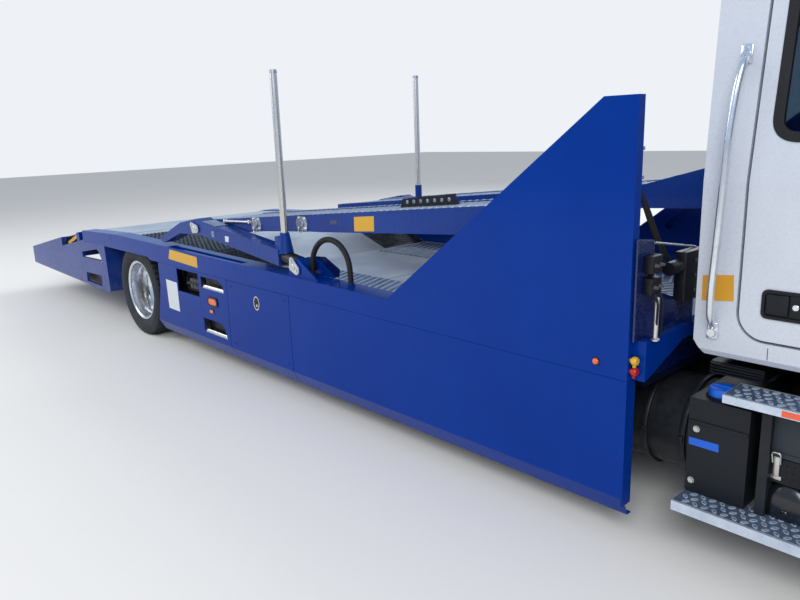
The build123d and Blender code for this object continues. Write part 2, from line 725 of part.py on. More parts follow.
# Fuel tank with the left steps
step_inset = 45
step_outer = half_width - step_inset
step_depth = 180
step_thickness = 45
low_step = 270
high_step = 800
low_step_x = (cab_rear + 40, cab_rear + 1040)
high_step_x = (cab_rear + 200, cab_rear + 1040)
tank_radius = 285
tank_y = 850
with BuildPart() as fuel_tank:
    rod((cab_rear + 100, tank_y, 600), (cab_rear + 1040, tank_y, 600), tank_radius)
    for place in (cab_rear + 240, cab_rear + 840):
        block((place, place + 70), (rail_outer_y, 650), (330, 780))
    block(low_step_x, (step_outer - step_depth, step_outer), (low_step, low_step + step_thickness))
    block(high_step_x, (step_outer - 240, step_outer - 70), (high_step, high_step + 35))
    for place in (cab_rear + 300, cab_rear + 900):
        block((place, place + 40), (step_outer - 210, step_outer - 100), (low_step, high_step))
save(fuel_tank.part, "fuel_tank")

# Battery box over two small air tanks, with the right steps, and the fluid tank behind it
box_x = (cab_rear + 330, cab_rear + 1040)
box_low = 470
small_tank_radius = 112
small_tank_height = 355
with BuildPart() as battery_box:
    block(box_x, (-1080, -620), (box_low, 770))
    for place in (box_x[0] + 125, box_x[0] + 385):
        rod((place, -1075, small_tank_height), (place, -640, small_tank_height), small_tank_radius)
        block((place - 25, place + 25), (-900, -860), (small_tank_height, box_low + 10))
    block(low_step_x, (-step_outer, -step_outer + step_depth), (low_step, low_step + step_thickness))
    block(high_step_x, (-step_outer + 70, -step_outer + 250), (high_step, high_step + 35))
    for place in (cab_rear + 340, cab_rear + 900):
        block((place, place + 40), (-step_outer + 130, -step_outer + 210), (low_step, high_step))
    for place in (cab_rear + 400, cab_rear + 900):
        block((place, place + 70), (-650, -rail_outer_y), (600, 780))
save(battery_box.part, "battery_box")
filler = (cab_rear + 140, -1040)
with BuildPart() as def_tank:
    block((cab_rear + 40, cab_rear + 300), (-1130, -700), (325, 770))
    rod((*filler, 770), (*filler, 815), 52)
    block((cab_rear + 120, cab_rear + 220), (-720, -rail_outer_y), (600, 760))
save(def_tank.part, "def_tank")

# Ribbed exhaust drum and two air tanks
drum_y = -760
drum_height = 500
drum_radius = 235
drum_x = (cab_rear - 710, cab_rear)
with BuildPart() as exhaust_drum:
    rod((drum_x[0], drum_y, drum_height), (drum_x[1], drum_y, drum_height), drum_radius)
    for ahead in (40, 250, 460, 650):
        rod((drum_x[0] + ahead, drum_y, drum_height), (drum_x[0] + ahead + 30, drum_y, drum_height), drum_radius + 15)
    for ahead in (130, 350):
        block((drum_x[0] + ahead, drum_x[0] + ahead + 60), (-600, -rail_outer_y), (570, 740))
save(exhaust_drum.part, "exhaust_drum")
with BuildPart() as air_tanks:
    for side in (-1, 1):
        rod((3100, side * 620, 560), (4000, side * 620, 560), 130)
        for place in (3250, 3750):
            block((place, place + 50), sorted((side * rail_outer_y, side * 600)), (560, 760))
save(air_tanks.part, "air_tanks")


# Cab form: the side view and the front view, each pushed through the other
cab_skirt = 15
cab_chamfer = 45
cab_side_corners = [
    (cab_rear, cab_low + 60, 15), (cab_rear + cab_chamfer, cab_low, 15), (cab_front, cab_low, 15),
    (cab_front, screen_foot, 60), (screen_head, screen_top, 90), (screen_head - 130, cab_roof - 40, 160),
    (cab_rear + 100, cab_roof - 3, 0), (cab_rear, cab_roof - 105, 90),
]
cab_half_corners = [
    (cab_half_width - cab_skirt, cab_low, 0), (cab_half_width, cab_low + 25, 0), (cab_half_width, cab_belt, 250),
    (cab_half_width - 65, roof_split, 150), (cab_half_width - 180, cab_roof - 20, 110),
]


def cab_form(inset):
    cross = cab_half_corners + [(0, cab_roof, 0)] + [(-y, z, radius) for y, z, radius in reversed(cab_half_corners)]
    with BuildPart() as form:
        extrude(rounded(side_view, cab_side_corners, inset), amount=half_width, both=True)
        extrude(rounded(cross_view.offset(cab_rear - 100), cross, inset), amount=cab_length + 200,
                mode=Mode.INTERSECT)
    return form.part


window_sill = cab_low + 940
window_head = cab_roof - 270
hinge_line_x = door_front - shut_gap / 2
hinge_line_y = cab_half_width + 11.5
hinge_barrel = 11
hinge_heights = (cab_low + 250, cab_low + 610)
hinge_leaf = 40
hinge_play = 0.3
mirror_x = door_front - 90
mirror_depth = 90
mirror_width = 210
mirror_inner_y = cab_half_width + 100
mirror_low = cab_belt - 60
mirror_high = mirror_low + 490
mirror_arms = (cab_belt + 30, cab_belt + 130)
door_edge = [
    (door_rear, door_low, 120), (door_front, door_low, 60), (door_front, screen_foot - 40, 80),
    (screen_head - 80, door_high, 70), (door_rear + 20, door_high, 70), (door_rear, cab_belt, 0),
]
window_edge = [
    (door_rear + 100, window_sill, 70), (door_front - 85, window_sill - 55, 40),
    (screen_head - 125, window_head - 10, 60), (door_rear + 115, window_head, 70),
]
with BuildPart() as cab_shell:
    add(cab_form(0))
    add(cab_form(cab_wall), mode=Mode.SUBTRACT)


def cab_panel(plane, points, reach, both, mode=Mode.INTERSECT):
    drawn = rounded(plane, points) if len(points[0]) == 3 else outline(plane, points)
    extrude(drawn, amount=reach, both=both, mode=mode)


inner_rear = cab_rear + cab_wall
beyond = 50
front_region = [
    (cab_front - cab_wall, cab_low - beyond), (cab_front - cab_wall, screen_foot - 10),
    (screen_head - 48, roof_split), (cab_front + beyond, roof_split), (cab_front + beyond, cab_low - beyond),
]
back_region = [
    (cab_rear - beyond, cab_low - beyond), (inner_rear, cab_low - beyond), (inner_rear, roof_split),
    (cab_rear - beyond, roof_split),
]
roof_region = [
    (cab_rear - beyond, roof_split), (cab_front, roof_split), (cab_front, cab_roof + beyond),
    (cab_rear - beyond, cab_roof + beyond),
]
screen_low = screen_foot + 70
screen_high = screen_top - 70
screen = [
    (-cab_half_width + 160, screen_low, 70), (cab_half_width - 160, screen_low, 70),
    (cab_half_width - 240, screen_high, 90), (-cab_half_width + 240, screen_high, 90),
]
with BuildPart() as cab_front_wall:
    add(cab_shell.part)
    cab_panel(side_view, front_region, half_width, True)
    cab_panel(cross_view.offset(screen_head - 560), screen, 1000, False, Mode.SUBTRACT)
save(cab_front_wall.part, "cab_front")
rear_window_low = cab_low + 900
rear_window_high = cab_roof - 365
rear_window = [
    (-480, rear_window_low, 60), (480, rear_window_low, 60), (450, rear_window_high, 60),
    (-450, rear_window_high, 60),
]
with BuildPart() as cab_back:
    add(cab_shell.part)
    cab_panel(side_view, back_region, half_width, True)
    cab_panel(cross_view.offset(cab_rear - 100), rear_window, 300, False, Mode.SUBTRACT)
save(cab_back.part, "cab_back")
with BuildPart() as cab_roof_panel:
    add(cab_shell.part)
    cab_panel(side_view, roof_region, half_width, True)
save(cab_roof_panel.part, "cab_roof")
with BuildPart() as cab_middle:
    add(cab_shell.part)
    for region in (front_region, back_region, roof_region):
        cab_panel(side_view, region, half_width, True, Mode.SUBTRACT)
floor_limits = ((cab_rear, cab_front), (-cab_half_width + cab_wall, cab_half_width - cab_wall),
                (cab_low - 50, cab_low + cab_wall))
with BuildPart() as cab_floor:
    add(cab_middle.part)
    block(*floor_limits, Mode.INTERSECT)
    for side in (-1, 1):
        for place in (cab_rear + 100, cab_front - 210):
            block((place, place + 120), sorted((side * engine_half, side * rail_outer_y)), (rail_high, cab_low))
save(cab_floor.part, "cab_floor")
with BuildPart() as cab_sides:
    add(cab_middle.part)
    block(*floor_limits, Mode.SUBTRACT)
    cab_panel(side_view, door_edge, half_width, True, Mode.SUBTRACT)
    for side in (-1, 1):
        for height in hinge_heights:
            leaf_z = (height + hinge_leaf + hinge_play, height + 2 * hinge_leaf)
            block((hinge_line_x, hinge_line_x + 45), sorted((side * cab_half_width, side * (cab_half_width + 6))),
                  leaf_z)
            rod((hinge_line_x, side * hinge_line_y, leaf_z[0]), (hinge_line_x, side * hinge_line_y, leaf_z[1]),
                hinge_barrel)
save(cab_sides.part, "cab_sides")
with BuildPart() as door_form:
    add(cab_middle.part)
    extrude(rounded(side_view, door_edge, shut_gap), amount=half_width, mode=Mode.INTERSECT)
    cab_panel(side_view, window_edge, half_width, False, Mode.SUBTRACT)
with BuildPart() as cab_door_right:
    add(door_form.part)
    for arm_height in mirror_arms:
        rod((mirror_x, -cab_half_width + 30, arm_height), (mirror_x, -mirror_inner_y - 40, arm_height), 14)
    with BuildSketch(cross_view.offset(mirror_x - mirror_depth / 2)) as mirror_face:
        with Locations((-mirror_inner_y - mirror_width / 2, (mirror_low + mirror_high) / 2)):
            RectangleRounded(mirror_width, mirror_high - mirror_low, 45)
    extrude(mirror_face.sketch, amount=mirror_depth)
    for height in hinge_heights:
        block((hinge_line_x - 45, hinge_line_x), (-cab_half_width - 6, -cab_half_width), (height, height + hinge_leaf))
        rod((hinge_line_x, -hinge_line_y, height), (hinge_line_x, -hinge_line_y, height + hinge_leaf), hinge_barrel)
save(cab_door_right.part, "cab_door_right")
save(other_side(cab_door_right.part), "cab_door_left")

# Glass sheets, set into the middle of the walls
glass_inset = 20
with BuildPart() as glass_sheet:
    add(cab_form(glass_inset))
    add(cab_form(glass_inset + glass), mode=Mode.SUBTRACT)
with BuildPart() as door_glass_right:
    add(glass_sheet.part)
    cab_panel(side_view, window_edge, half_width, False)
save(door_glass_right.part, "door_glass_right")
save(other_side(door_glass_right.part), "door_glass_left")
with BuildPart() as windscreen:
    add(glass_sheet.part)
    cab_panel(cross_view.offset(screen_head - 260), screen, 800, False)
    block((cab_rear, cab_front + 200), (-half_width, half_width), (roof_split - 40, cab_roof + 200), Mode.SUBTRACT)
with BuildPart() as back_glass:
    add(glass_sheet.part)
    cab_panel(cross_view.offset(cab_rear - 100), rear_window, 200, False)
with BuildPart() as cab_glass:
    add(windscreen.part)
    add(back_glass.part)
save(cab_glass.part, "cab_glass")

# Seats, dashboard and steering wheel
floor_top = cab_low + cab_wall
seat_x = cab_rear + 240
cushion_low = cab_low + 320
cushion_top = cab_low + 450
dash_rear = cab_front - 300
wheel_middle = (dash_rear - 160, 530, cab_low + 750)
with BuildPart() as cab_interior:
    for side in (-1, 1):
        seat_y = sorted((side * 270, side * 790))
        block((seat_x, seat_x + 120), seat_y, (cushion_low + 30, cab_low + 1040))
        block((seat_x, seat_x + 500), seat_y, (cushion_low, cushion_top))
        block((seat_x + 60, seat_x + 440), sorted((side * 330, side * 730)), (floor_top, cushion_low))
    block((dash_rear, cab_front - cab_wall), (-cab_half_width + 70, cab_half_width - 70),
          (cab_low + 530, cab_low + 790))
    rod((dash_rear + 40, 530, wheel_middle[2] - 100), wheel_middle, 30)
    with BuildSketch(Plane(origin=(rear_axle_x + wheel_middle[0], *wheel_middle[1:]), z_dir=(-2, 0, 1))) as wheel:
        Circle(215)
        Circle(190, mode=Mode.SUBTRACT)
        Rectangle(390, 40)
    extrude(wheel.sketch, amount=12, both=True)
save(cab_interior.part, "cab_interior")


# Hood with the fenders, open below and behind
hood_back_top = 1790
hood_middle_top = 1640
hood_front_top = 1470
hood_back_half = 720
hood_front_half = 590
fender_overhang = 140
fender_half = front_track / 2 + fender_overhang
fender_top = 1320
fender_front_top = 1020
hood_face_trim = 1


def both_ways(half):
    return half + [(x, -y, radius) for x, y, radius in reversed(half)]


def hood_form(wall):
    rear = hood_rear - (50 if wall else 0)
    low = hood_low - (300 if wall else 0)
    front = hood_front - wall
    plan_front = front + hood_face_trim
    middle_side = [(rear, low, 0), (rear, hood_back_top - wall, 0), (wheelbase + 600, hood_middle_top - wall, 600),
                   (front, hood_front_top - wall, 150 - wall), (front, low, 0)]
    middle_plan = both_ways([(rear, -hood_back_half + wall, 0),
                             (plan_front, -hood_front_half + wall, 110 - wall)])
    middle_cross = [(-hood_back_half + wall, low, 0), (-hood_back_half + wall, hood_back_top - 60 - wall, 180 - wall),
                    (0, hood_back_top - wall, 900), (hood_back_half - wall, hood_back_top - 60 - wall, 180 - wall),
                    (hood_back_half - wall, low, 0)]
    fender_side = [(rear, low, 0), (rear, fender_top - 95, 0), (hood_rear + 170, fender_top - wall, 250),
                   (wheelbase + 370, fender_top - wall, 300), (hood_front - 160, fender_top - 120 - wall, 200),
                   (front, fender_front_top - wall, 110 - wall), (front, low, 0)]
    fender_plan = both_ways([(rear, -fender_half + wall, 0), (hood_front - 460, -fender_half + wall, 400),
                             (hood_front - 80, -fender_half + 90 + wall, 220 - wall),
                             (plan_front, -fender_half + 300 + wall, 100 - wall)])
    fender_cross = [(-fender_half + wall, low, 0), (-fender_half + wall, fender_top - wall, 90 - wall),
                    (fender_half - wall, fender_top - wall, 90 - wall), (fender_half - wall, low, 0)]
    halves = []
    for side_corners, plan_corners, cross_corners in ((middle_side, middle_plan, middle_cross),
                                                      (fender_side, fender_plan, fender_cross)):
        with BuildPart() as form:
            extrude(rounded(side_view, side_corners), amount=half_width, both=True)
            extrude(rounded(plan_view, plan_corners), amount=3000, mode=Mode.INTERSECT)
            extrude(rounded(cross_view.offset(hood_rear - 100), cross_corners), amount=2000, mode=Mode.INTERSECT)
        halves.append(form.part)
    with BuildPart() as whole:
        for half in halves:
            add(half)
    return whole.part


grille_width = 800
grille_low = 840
grille_high = 1360
grille_bars = 8
lamp_inner = 620
lamp_outer = fender_half - 170
lamp_low = 850
lamp_high = 1000
lamp_gap = 0.3
lamp_reach = 160
hinge_x = hood_front - 15
hinge_z = hood_low + 15
hinge_inner_y = engine_half
hinge_outer_y = hinge_inner_y + 50
hinge_ear = 10
with BuildPart() as hood:
    add(hood_form(0))
    add(hood_form(hood_wall), mode=Mode.SUBTRACT)
    with BuildSketch(side_view) as arch:
        with Locations((wheelbase, axle_height)):
            Circle(arch_radius)
    extrude(amount=half_width, both=True, mode=Mode.SUBTRACT)
    block((hood_front - 100, hood_front + 10), (-grille_width / 2, grille_width / 2),
          (grille_low, grille_high), Mode.SUBTRACT)
    for side in (-1, 1):
        block((hood_front - lamp_reach, hood_front + 10), sorted((side * lamp_inner, side * lamp_outer)),
              (lamp_low, lamp_high), Mode.SUBTRACT)
        block((hood_front - 40, hood_front + 10),
              sorted((side * (hinge_inner_y - 6), side * (hinge_outer_y + hinge_ear + 6))),
              (hood_low - 10, hinge_z + 25), Mode.SUBTRACT)
        lug = sorted((side * (hinge_inner_y + hinge_ear + 5), side * (hinge_outer_y - 5)))
        rod((hinge_x, lug[0], hinge_z), (hinge_x, lug[1], hinge_z), 16)
        block((hinge_x - 12, hood_front - 1), lug, (hinge_z, hinge_z + 40))
        rod((hinge_x, lug[0], hinge_z), (hinge_x, lug[1], hinge_z), 10.05, Mode.SUBTRACT)
save(hood.part, "hood")
with BuildPart() as grille:
    block((hood_front - 25, hood_front - 2), (-grille_width / 2, grille_width / 2), (grille_low, grille_high))
    block((hood_front - 26, hood_front), (-grille_width / 2 + 30, grille_width / 2 - 30),
          (grille_low + 30, grille_high - 30), Mode.SUBTRACT)
    for row in range(grille_bars):
        high = grille_low + 60 + row * 55
        block((hood_front - 22, hood_front - 4), (-grille_width / 2, grille_width / 2), (high, high + 18))
save(grille.part, "grille")
with BuildPart() as headlamps:
    add(hood_form(3))
    add(hood_form(35), mode=Mode.SUBTRACT)
    with BuildSketch(cross_view.offset(hood_front - lamp_reach + lamp_gap)) as lamp_faces:
        for side in (-1, 1):
            with Locations((side * (lamp_inner + lamp_outer) / 2, (lamp_low + lamp_high) / 2)):
                Rectangle(lamp_outer - lamp_inner - 2 * lamp_gap, lamp_high - lamp_low - 2 * lamp_gap)
    extrude(lamp_faces.sketch, amount=lamp_reach, mode=Mode.INTERSECT)
save(headlamps.part, "headlamps")

# Front bumper on the rails' ends
bumper_low = 420
bumper_high = 730
bumper_wall = 10
bumper_half = fender_half + 20
with BuildPart() as front_bumper:
    bow = both_ways([(nose - 240, -bumper_half, 0), (nose - 90, -bumper_half + 70, 120), (nose, -bumper_half + 300, 300)])
    inner_bow = both_ways([(nose - 300, -bumper_half + 10, 0), (nose - 100, -bumper_half + 80, 110),
                           (nose - bumper_wall, -bumper_half + 305, 290)])
    throat = both_ways([(nose - 300, -bumper_half + 80, 0), (nose - 160, -bumper_half + 140, 60),
                        (nose - 80, -bumper_half + 340, 200)])
    extrude(rounded(plan_view.offset(bumper_low), bow), amount=bumper_high - bumper_low)
    extrude(rounded(plan_view.offset(bumper_low + bumper_wall), inner_bow),
            amount=bumper_high - bumper_low - 2 * bumper_wall, mode=Mode.SUBTRACT)
    extrude(rounded(plan_view.offset(bumper_low - 1), throat), amount=bumper_high - bumper_low + 2,
            mode=Mode.SUBTRACT)
    with BuildSketch(cross_view.offset(nose - 200)) as bumper_openings:
        with Locations((0, (bumper_low + bumper_high) / 2)):
            RectangleRounded(560, 130, 50)
        for side in (-1, 1):
            with Locations((side * 720, (bumper_low + bumper_high) / 2)):
                RectangleRounded(200, 110, 50)
    extrude(bumper_openings.sketch, amount=220, mode=Mode.SUBTRACT)
    for side in (-1, 1):
        block((rail_front, nose - bumper_wall), sorted((side * hinge_inner_y, side * rail_outer_y)), (rail_low, 700))
        for ear in (hinge_inner_y, hinge_outer_y):
            ear_y = sorted((side * ear, side * (ear + hinge_ear)))
            block((hinge_x - 60, hinge_x), ear_y, (690, hinge_z))
            rod((hinge_x, ear_y[0], hinge_z), (hinge_x, ear_y[1], hinge_z), 14)
        rod((hinge_x, side * hinge_inner_y, hinge_z), (hinge_x, side * (hinge_outer_y + hinge_ear), hinge_z), 10)
save(front_bumper.part, "front_bumper")


# Skids: two side beams with a tread plate between, hinged near the front end
def skid_top(x):
    return 1137 + 0.09 * x


kick_length = 390
kick_start = skid_front - kick_length
kick_end_height = 1660
skid_heights = ((skid_rear, 125), (2200, 110), (2260, 110), (2860, 120), (2970, 125), (kick_start, 160))
with BuildPart() as skid_right:
    top_line = [(x, skid_top(x)) for x, height in skid_heights] + [(skid_front, kick_end_height)]
    low_line = [(x, skid_top(x) - height) for x, height in skid_heights] + [(skid_front, kick_end_height - 250)]
    beam = top_line + list(reversed(low_line))
    for outer in (skid_outer_y, skid_inner_y + skid_beam):
        extrude(outline(side_view.offset(outer - skid_beam), beam), amount=skid_beam)
    tread = [(x, z - 12) for x, z in top_line] + [(x, z - 12 - skid_tread) for x, z in reversed(top_line)]
    extrude(outline(side_view.offset(skid_inner_y + skid_beam), tread),
            amount=skid_outer_y - skid_inner_y - 2 * skid_beam)
    for place in (1500, 2230, 3000, 3800, kick_start - 40):
        high = skid_top(place) - 12 - skid_tread
        rod((place, -skid_outer_y + 10, high - 35), (place, -skid_inner_y - 10, high - 35), 30)
    slot = [(arm_pin - 40, arm_pin_height - 32), (arm_pin + 150, arm_pin_height - 32),
            (arm_pin + 150, arm_pin_height + 32), (arm_pin - 40, arm_pin_height + 32)]
    extrude(outline(side_view.offset(skid_outer_y - skid_beam - 5), slot), amount=skid_beam + 10,
            mode=Mode.SUBTRACT)
    rod((skid_hinge, -skid_outer_y - 1, skid_hinge_height), (skid_hinge, -skid_outer_y + skid_beam + 1,
        skid_hinge_height), 25.05, Mode.SUBTRACT)
    chock_x = (3387, 3946)
    chock = [(chock_x[0], skid_top(chock_x[0]) - 14), (chock_x[1], skid_top(chock_x[1]) - 14),
             (chock_x[1] - 43, skid_top(chock_x[1]) + 63), (chock_x[0] + 24, skid_top(chock_x[0]) + 58)]
    extrude(outline(side_view.offset(700), chock), amount=8)
save(skid_right.part, "skid_right")
socket_wall = 8
socket_high = 120
post_left_x = 1720
post_left_y = skid_outer_y - skid_beam + post_radius + socket_wall + 1
with BuildPart() as skid_left:
    mirror(skid_right.part, about=Plane.XZ)
    rod((post_left_x, post_left_y, skid_top(post_left_x) - 10),
        (post_left_x, post_left_y, skid_top(post_left_x) + socket_high), post_radius + socket_wall)
    rod((post_left_x, post_left_y, skid_top(post_left_x) - 5),
        (post_left_x, post_left_y, skid_top(post_left_x) + socket_high + 10), post_radius + 0.5, Mode.SUBTRACT)
save(skid_left.part, "skid_left")

# Lift arms: a box arm with its rear ramp foot, front eye and pin
foot_x = 640
with BuildPart() as lift_arm_right:
    arm = [
        (arm_pivot - 230, 1020), (arm_pivot - 230, 1140), (1472, 1268), (1400, 1288), (1067, 1232),
        (foot_x, 1070), (foot_x, 1030), (foot_x + 60, 1020), (1044, 1134), (1448, 1150),
    ]
    extrude(outline(side_view.offset(arm_outer_y - arm_width), arm), amount=arm_width)
    rod((arm_pivot - 240, -arm_outer_y + arm_width / 2, 1080), (arm_pivot - 40, -arm_outer_y + arm_width / 2, 1048), 50)
    rod((arm_pivot, -arm_outer_y + 8, arm_pivot_height), (arm_pivot, -arm_outer_y + arm_width - 8, arm_pivot_height), 52)
    rod((arm_pivot, -arm_outer_y, arm_pivot_height), (arm_pivot, -arm_outer_y + arm_width, arm_pivot_height),
        arm_pin_radius + 0.05, Mode.SUBTRACT)
    rod((arm_pin, -arm_outer_y - 8, arm_pin_height), (arm_pin, -skid_outer_y + skid_beam, arm_pin_height),
        arm_pin_radius)
    block((arm_pivot - 300, arm_pivot - 240), (-arm_outer_y + 25, -arm_outer_y + arm_width - 25), (1120, 1230))
    with BuildSketch(Plane(origin=(rear_axle_x + 2640, -arm_outer_y + arm_width / 2, 1110))) as socket_foot:
        Circle(60)
    extrude(amount=150, taper=10)
    rod((2640, -arm_outer_y + arm_width / 2, 1150), (2640, -arm_outer_y + arm_width / 2, 1300),
        post_radius + 0.5, Mode.SUBTRACT)
save(lift_arm_right.part, "lift_arm_right")
save(other_side(lift_arm_right.part), "lift_arm_left")

# Posts
with BuildPart() as post_right:
    rod((2640, -arm_outer_y + arm_width / 2, 1150), (2640, -arm_outer_y + arm_width / 2, 2400), post_radius)
save(post_right.part, "post_right")
with BuildPart() as post_left:
    rod((post_left_x, post_left_y, skid_top(post_left_x) - 5), (post_left_x, post_left_y, 2490), post_radius)
save(post_left.part, "post_left")

# Hydraulic hose loop beside the right arm, from gland to gland
hose_points = [
    (rear_axle_x + 2960, -1180, hose_rear_low), (rear_axle_x + 2960, -1180, 1075), (rear_axle_x + 3000, -1182, 1170),
    (rear_axle_x + 3090, -1186, 1240), (rear_axle_x + 3200, -1190, 1262), (rear_axle_x + 3310, -1194, 1235),
    (rear_axle_x + 3390, -1198, 1160), (rear_axle_x + 3415, -1200, 1070), (rear_axle_x + 3415, -1200, hose_front_low),
]


def route_radii(points):
    radii = []
    for before, corner, after in zip(points, points[1:], points[2:]):
        first = Vector(*corner) - Vector(*before)
        second = Vector(*after) - Vector(*corner)
        turn = math.radians(first.get_angle(second))
        radii.append(0.45 * min(first.length, second.length) / math.tan(turn / 2))
    return radii


hose_radii = route_radii(hose_points)
print("hose radii", [round(radius) for radius in hose_radii])
with BuildPart() as lift_hose:
    with BuildLine() as route:
        FilletPolyline(*hose_points, radius=hose_radii)
    with BuildSketch(Plane(origin=hose_points[0], z_dir=Vector(*hose_points[1]) - Vector(*hose_points[0]))) as bore:
        RegularPolygon(hose_radius, hose_sides)
    sweep(path=route.line)
hose_length = sum(edge.length for edge in route.line.edges())
print("hose length", round(hose_length), "volume ratio",
      round(lift_hose.part.volume / (bore.sketch.area * hose_length), 4))
save(lift_hose.part, "lift_hose")
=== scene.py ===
import math

import bmesh
import bpy
from mathutils import Matrix, Vector


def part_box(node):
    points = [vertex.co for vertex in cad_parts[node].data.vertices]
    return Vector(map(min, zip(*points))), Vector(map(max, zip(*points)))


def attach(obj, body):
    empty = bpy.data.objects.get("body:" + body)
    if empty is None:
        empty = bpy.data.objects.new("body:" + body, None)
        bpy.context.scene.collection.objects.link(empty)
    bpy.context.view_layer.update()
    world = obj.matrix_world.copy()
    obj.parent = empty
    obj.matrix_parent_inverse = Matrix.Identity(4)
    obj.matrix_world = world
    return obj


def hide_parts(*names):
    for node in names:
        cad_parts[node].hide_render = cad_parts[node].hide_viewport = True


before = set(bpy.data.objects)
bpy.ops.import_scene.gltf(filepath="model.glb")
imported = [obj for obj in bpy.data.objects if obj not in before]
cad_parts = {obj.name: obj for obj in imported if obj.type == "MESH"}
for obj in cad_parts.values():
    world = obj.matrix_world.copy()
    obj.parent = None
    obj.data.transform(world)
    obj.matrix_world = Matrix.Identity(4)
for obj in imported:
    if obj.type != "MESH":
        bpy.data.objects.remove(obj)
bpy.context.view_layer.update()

# Shapes are drawn in millimetres, and finishPiece brings them to metres
metre = 1000
axleX = sum(corner[0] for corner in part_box("rear_tyres_right")) / 2 * metre
sideY = -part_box("skirts")[0][1] * metre
circle = 2 * math.pi


# Places, given by the distance ahead of the rear axle, the distance left of the middle and the height
def at(ahead, y, z):
    return Vector((axleX + ahead, y, z))


def facing(origin, outward=(0, -1, 0), along=(1, 0, 0)):
    # local X runs along, local Z points outward
    w = Vector(outward).normalized()
    u = Vector(along)
    u = (u - u.dot(w) * w).normalized()
    return Matrix.Translation(Vector(origin)) @ Matrix((u, w.cross(u), w)).transposed().to_4x4()


def toRight(out, x=0, z=0):
    # looks right, from a distance right of the middle: local X runs ahead and local Y up
    return facing(at(x, -out, z))


def toFront(x, y=0, z=0):
    # looks ahead: local X runs left and local Y up
    return facing(at(x, y, z), (1, 0, 0), (0, 1, 0))


def toRear(x, y, z):
    return facing(at(x, y, z), (-1, 0, 0), (0, -1, 0))


def toTop(x, y, z):
    return facing(at(x, y, z), (0, 0, 1))


def moved(place, x, y, z=0):
    return place @ Matrix.Translation((x, y, z))


def polar(place, radius, angle, height=0):
    return moved(place, radius * math.cos(angle), radius * math.sin(angle), height)


axlePlace = Matrix.Translation(at(0, 0, 0))

# Camera, at the photograph's place
cameraFit = {
    "spot": (7004, -4019, 1947),
    "heading": 47.824,
    "down": 13.423,
    "roll": -1.988,
    "lens": 31.607,
    "sensor": 36,
    "reach": 200,
}


def addCamera():
    heading, down, roll = (math.radians(cameraFit[key]) for key in ("heading", "down", "roll"))
    ahead = Vector((-math.sin(heading) * math.cos(down), math.cos(heading) * math.cos(down), -math.sin(down)))
    level = Vector((math.cos(heading), math.sin(heading), 0))
    upright = level.cross(ahead)
    right = math.cos(roll) * level + math.sin(roll) * upright
    up = -math.sin(roll) * level + math.cos(roll) * upright
    data = bpy.data.cameras.new("camera")
    data.lens = cameraFit["lens"]
    data.sensor_width = cameraFit["sensor"]
    data.clip_end = cameraFit["reach"]
    camera = bpy.data.objects.new("camera", data)
    turn = Matrix((right, up, -ahead)).transposed().to_4x4()
    camera.matrix_world = Matrix.Translation(at(*cameraFit["spot"]) / metre) @ turn
    bpy.context.collection.objects.link(camera)
    bpy.context.scene.camera = camera


addCamera()
print("camera set")


# Mesh helpers
def finishPiece(name, shape, finish, body, smooth=35):
    bmesh.ops.scale(shape, vec=(1 / metre,) * 3, verts=shape.verts)
    bmesh.ops.remove_doubles(shape, verts=shape.verts, dist=0.00001)
    bmesh.ops.recalc_face_normals(shape, faces=shape.faces)
    mesh = bpy.data.meshes.new(name)
    shape.to_mesh(mesh)
    shape.free()
    made = bpy.data.objects.new(name, mesh)
    bpy.context.collection.objects.link(made)
    mesh.materials.append(finish)
    if smooth:
        mesh.shade_smooth()
        mesh.set_sharp_from_angle(angle=math.radians(smooth))
    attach(made, body)
    return made


def mirror(shape, geometry=None):
    verts, faces = shape.verts, shape.faces
    if geometry:
        verts = [item for item in geometry if isinstance(item, bmesh.types.BMVert)]
        faces = [item for item in geometry if isinstance(item, bmesh.types.BMFace)]
    bmesh.ops.scale(shape, vec=(1, -1, 1), verts=verts)
    bmesh.ops.reverse_faces(shape, faces=faces)


def piece(name, finish, body="truck", smooth=35, sides=None):
    # makes a piece of what the function below it draws on the right side, and the function's name then
    # stands for the piece. With sides as "each", or {} in the body's name, each side is a piece of its own.
    # "right" has no other side, and "both" are one piece.
    sides = sides or ("each" if "{}" in body else "both")

    def make(draw):
        for side in ("right", "left") if sides == "each" else ("",):
            shape = bmesh.new()
            draw(shape)
            if side == "left":
                mirror(shape)
            if sides == "both":
                geometry = [*shape.verts, *shape.edges, *shape.faces]
                mirror(shape, bmesh.ops.duplicate(shape, geom=geometry)["geom"])
            fullName = f"{name}_{side}" if side else name
            made = finishPiece(fullName, shape, finish, body.format(side), smooth)
        return made
    return make


def band(shape, first, second):
    for i in range(len(first)):
        j = (i + 1) % len(first)
        shape.faces.new((first[i], first[j], second[j], second[i]))


def plate(shape, outline, thickness, place, start=0):
    low, high = ([shape.verts.new(place @ Vector((x, y, z))) for x, y in outline]
                 for z in (start, start + thickness))
    shape.faces.new(low[::-1])
    shape.faces.new(high)
    band(shape, low, high)


def frameRing(shape, outer, inner, thickness, place, start=0):
    end = start + thickness
    rings = [[shape.verts.new(place @ Vector((x, y, height))) for x, y in outline]
             for outline, height in ((outer, start), (outer, end), (inner, end), (inner, start))]
    for first, second in zip(rings, rings[1:] + rings[:1]):
        band(shape, first, second)


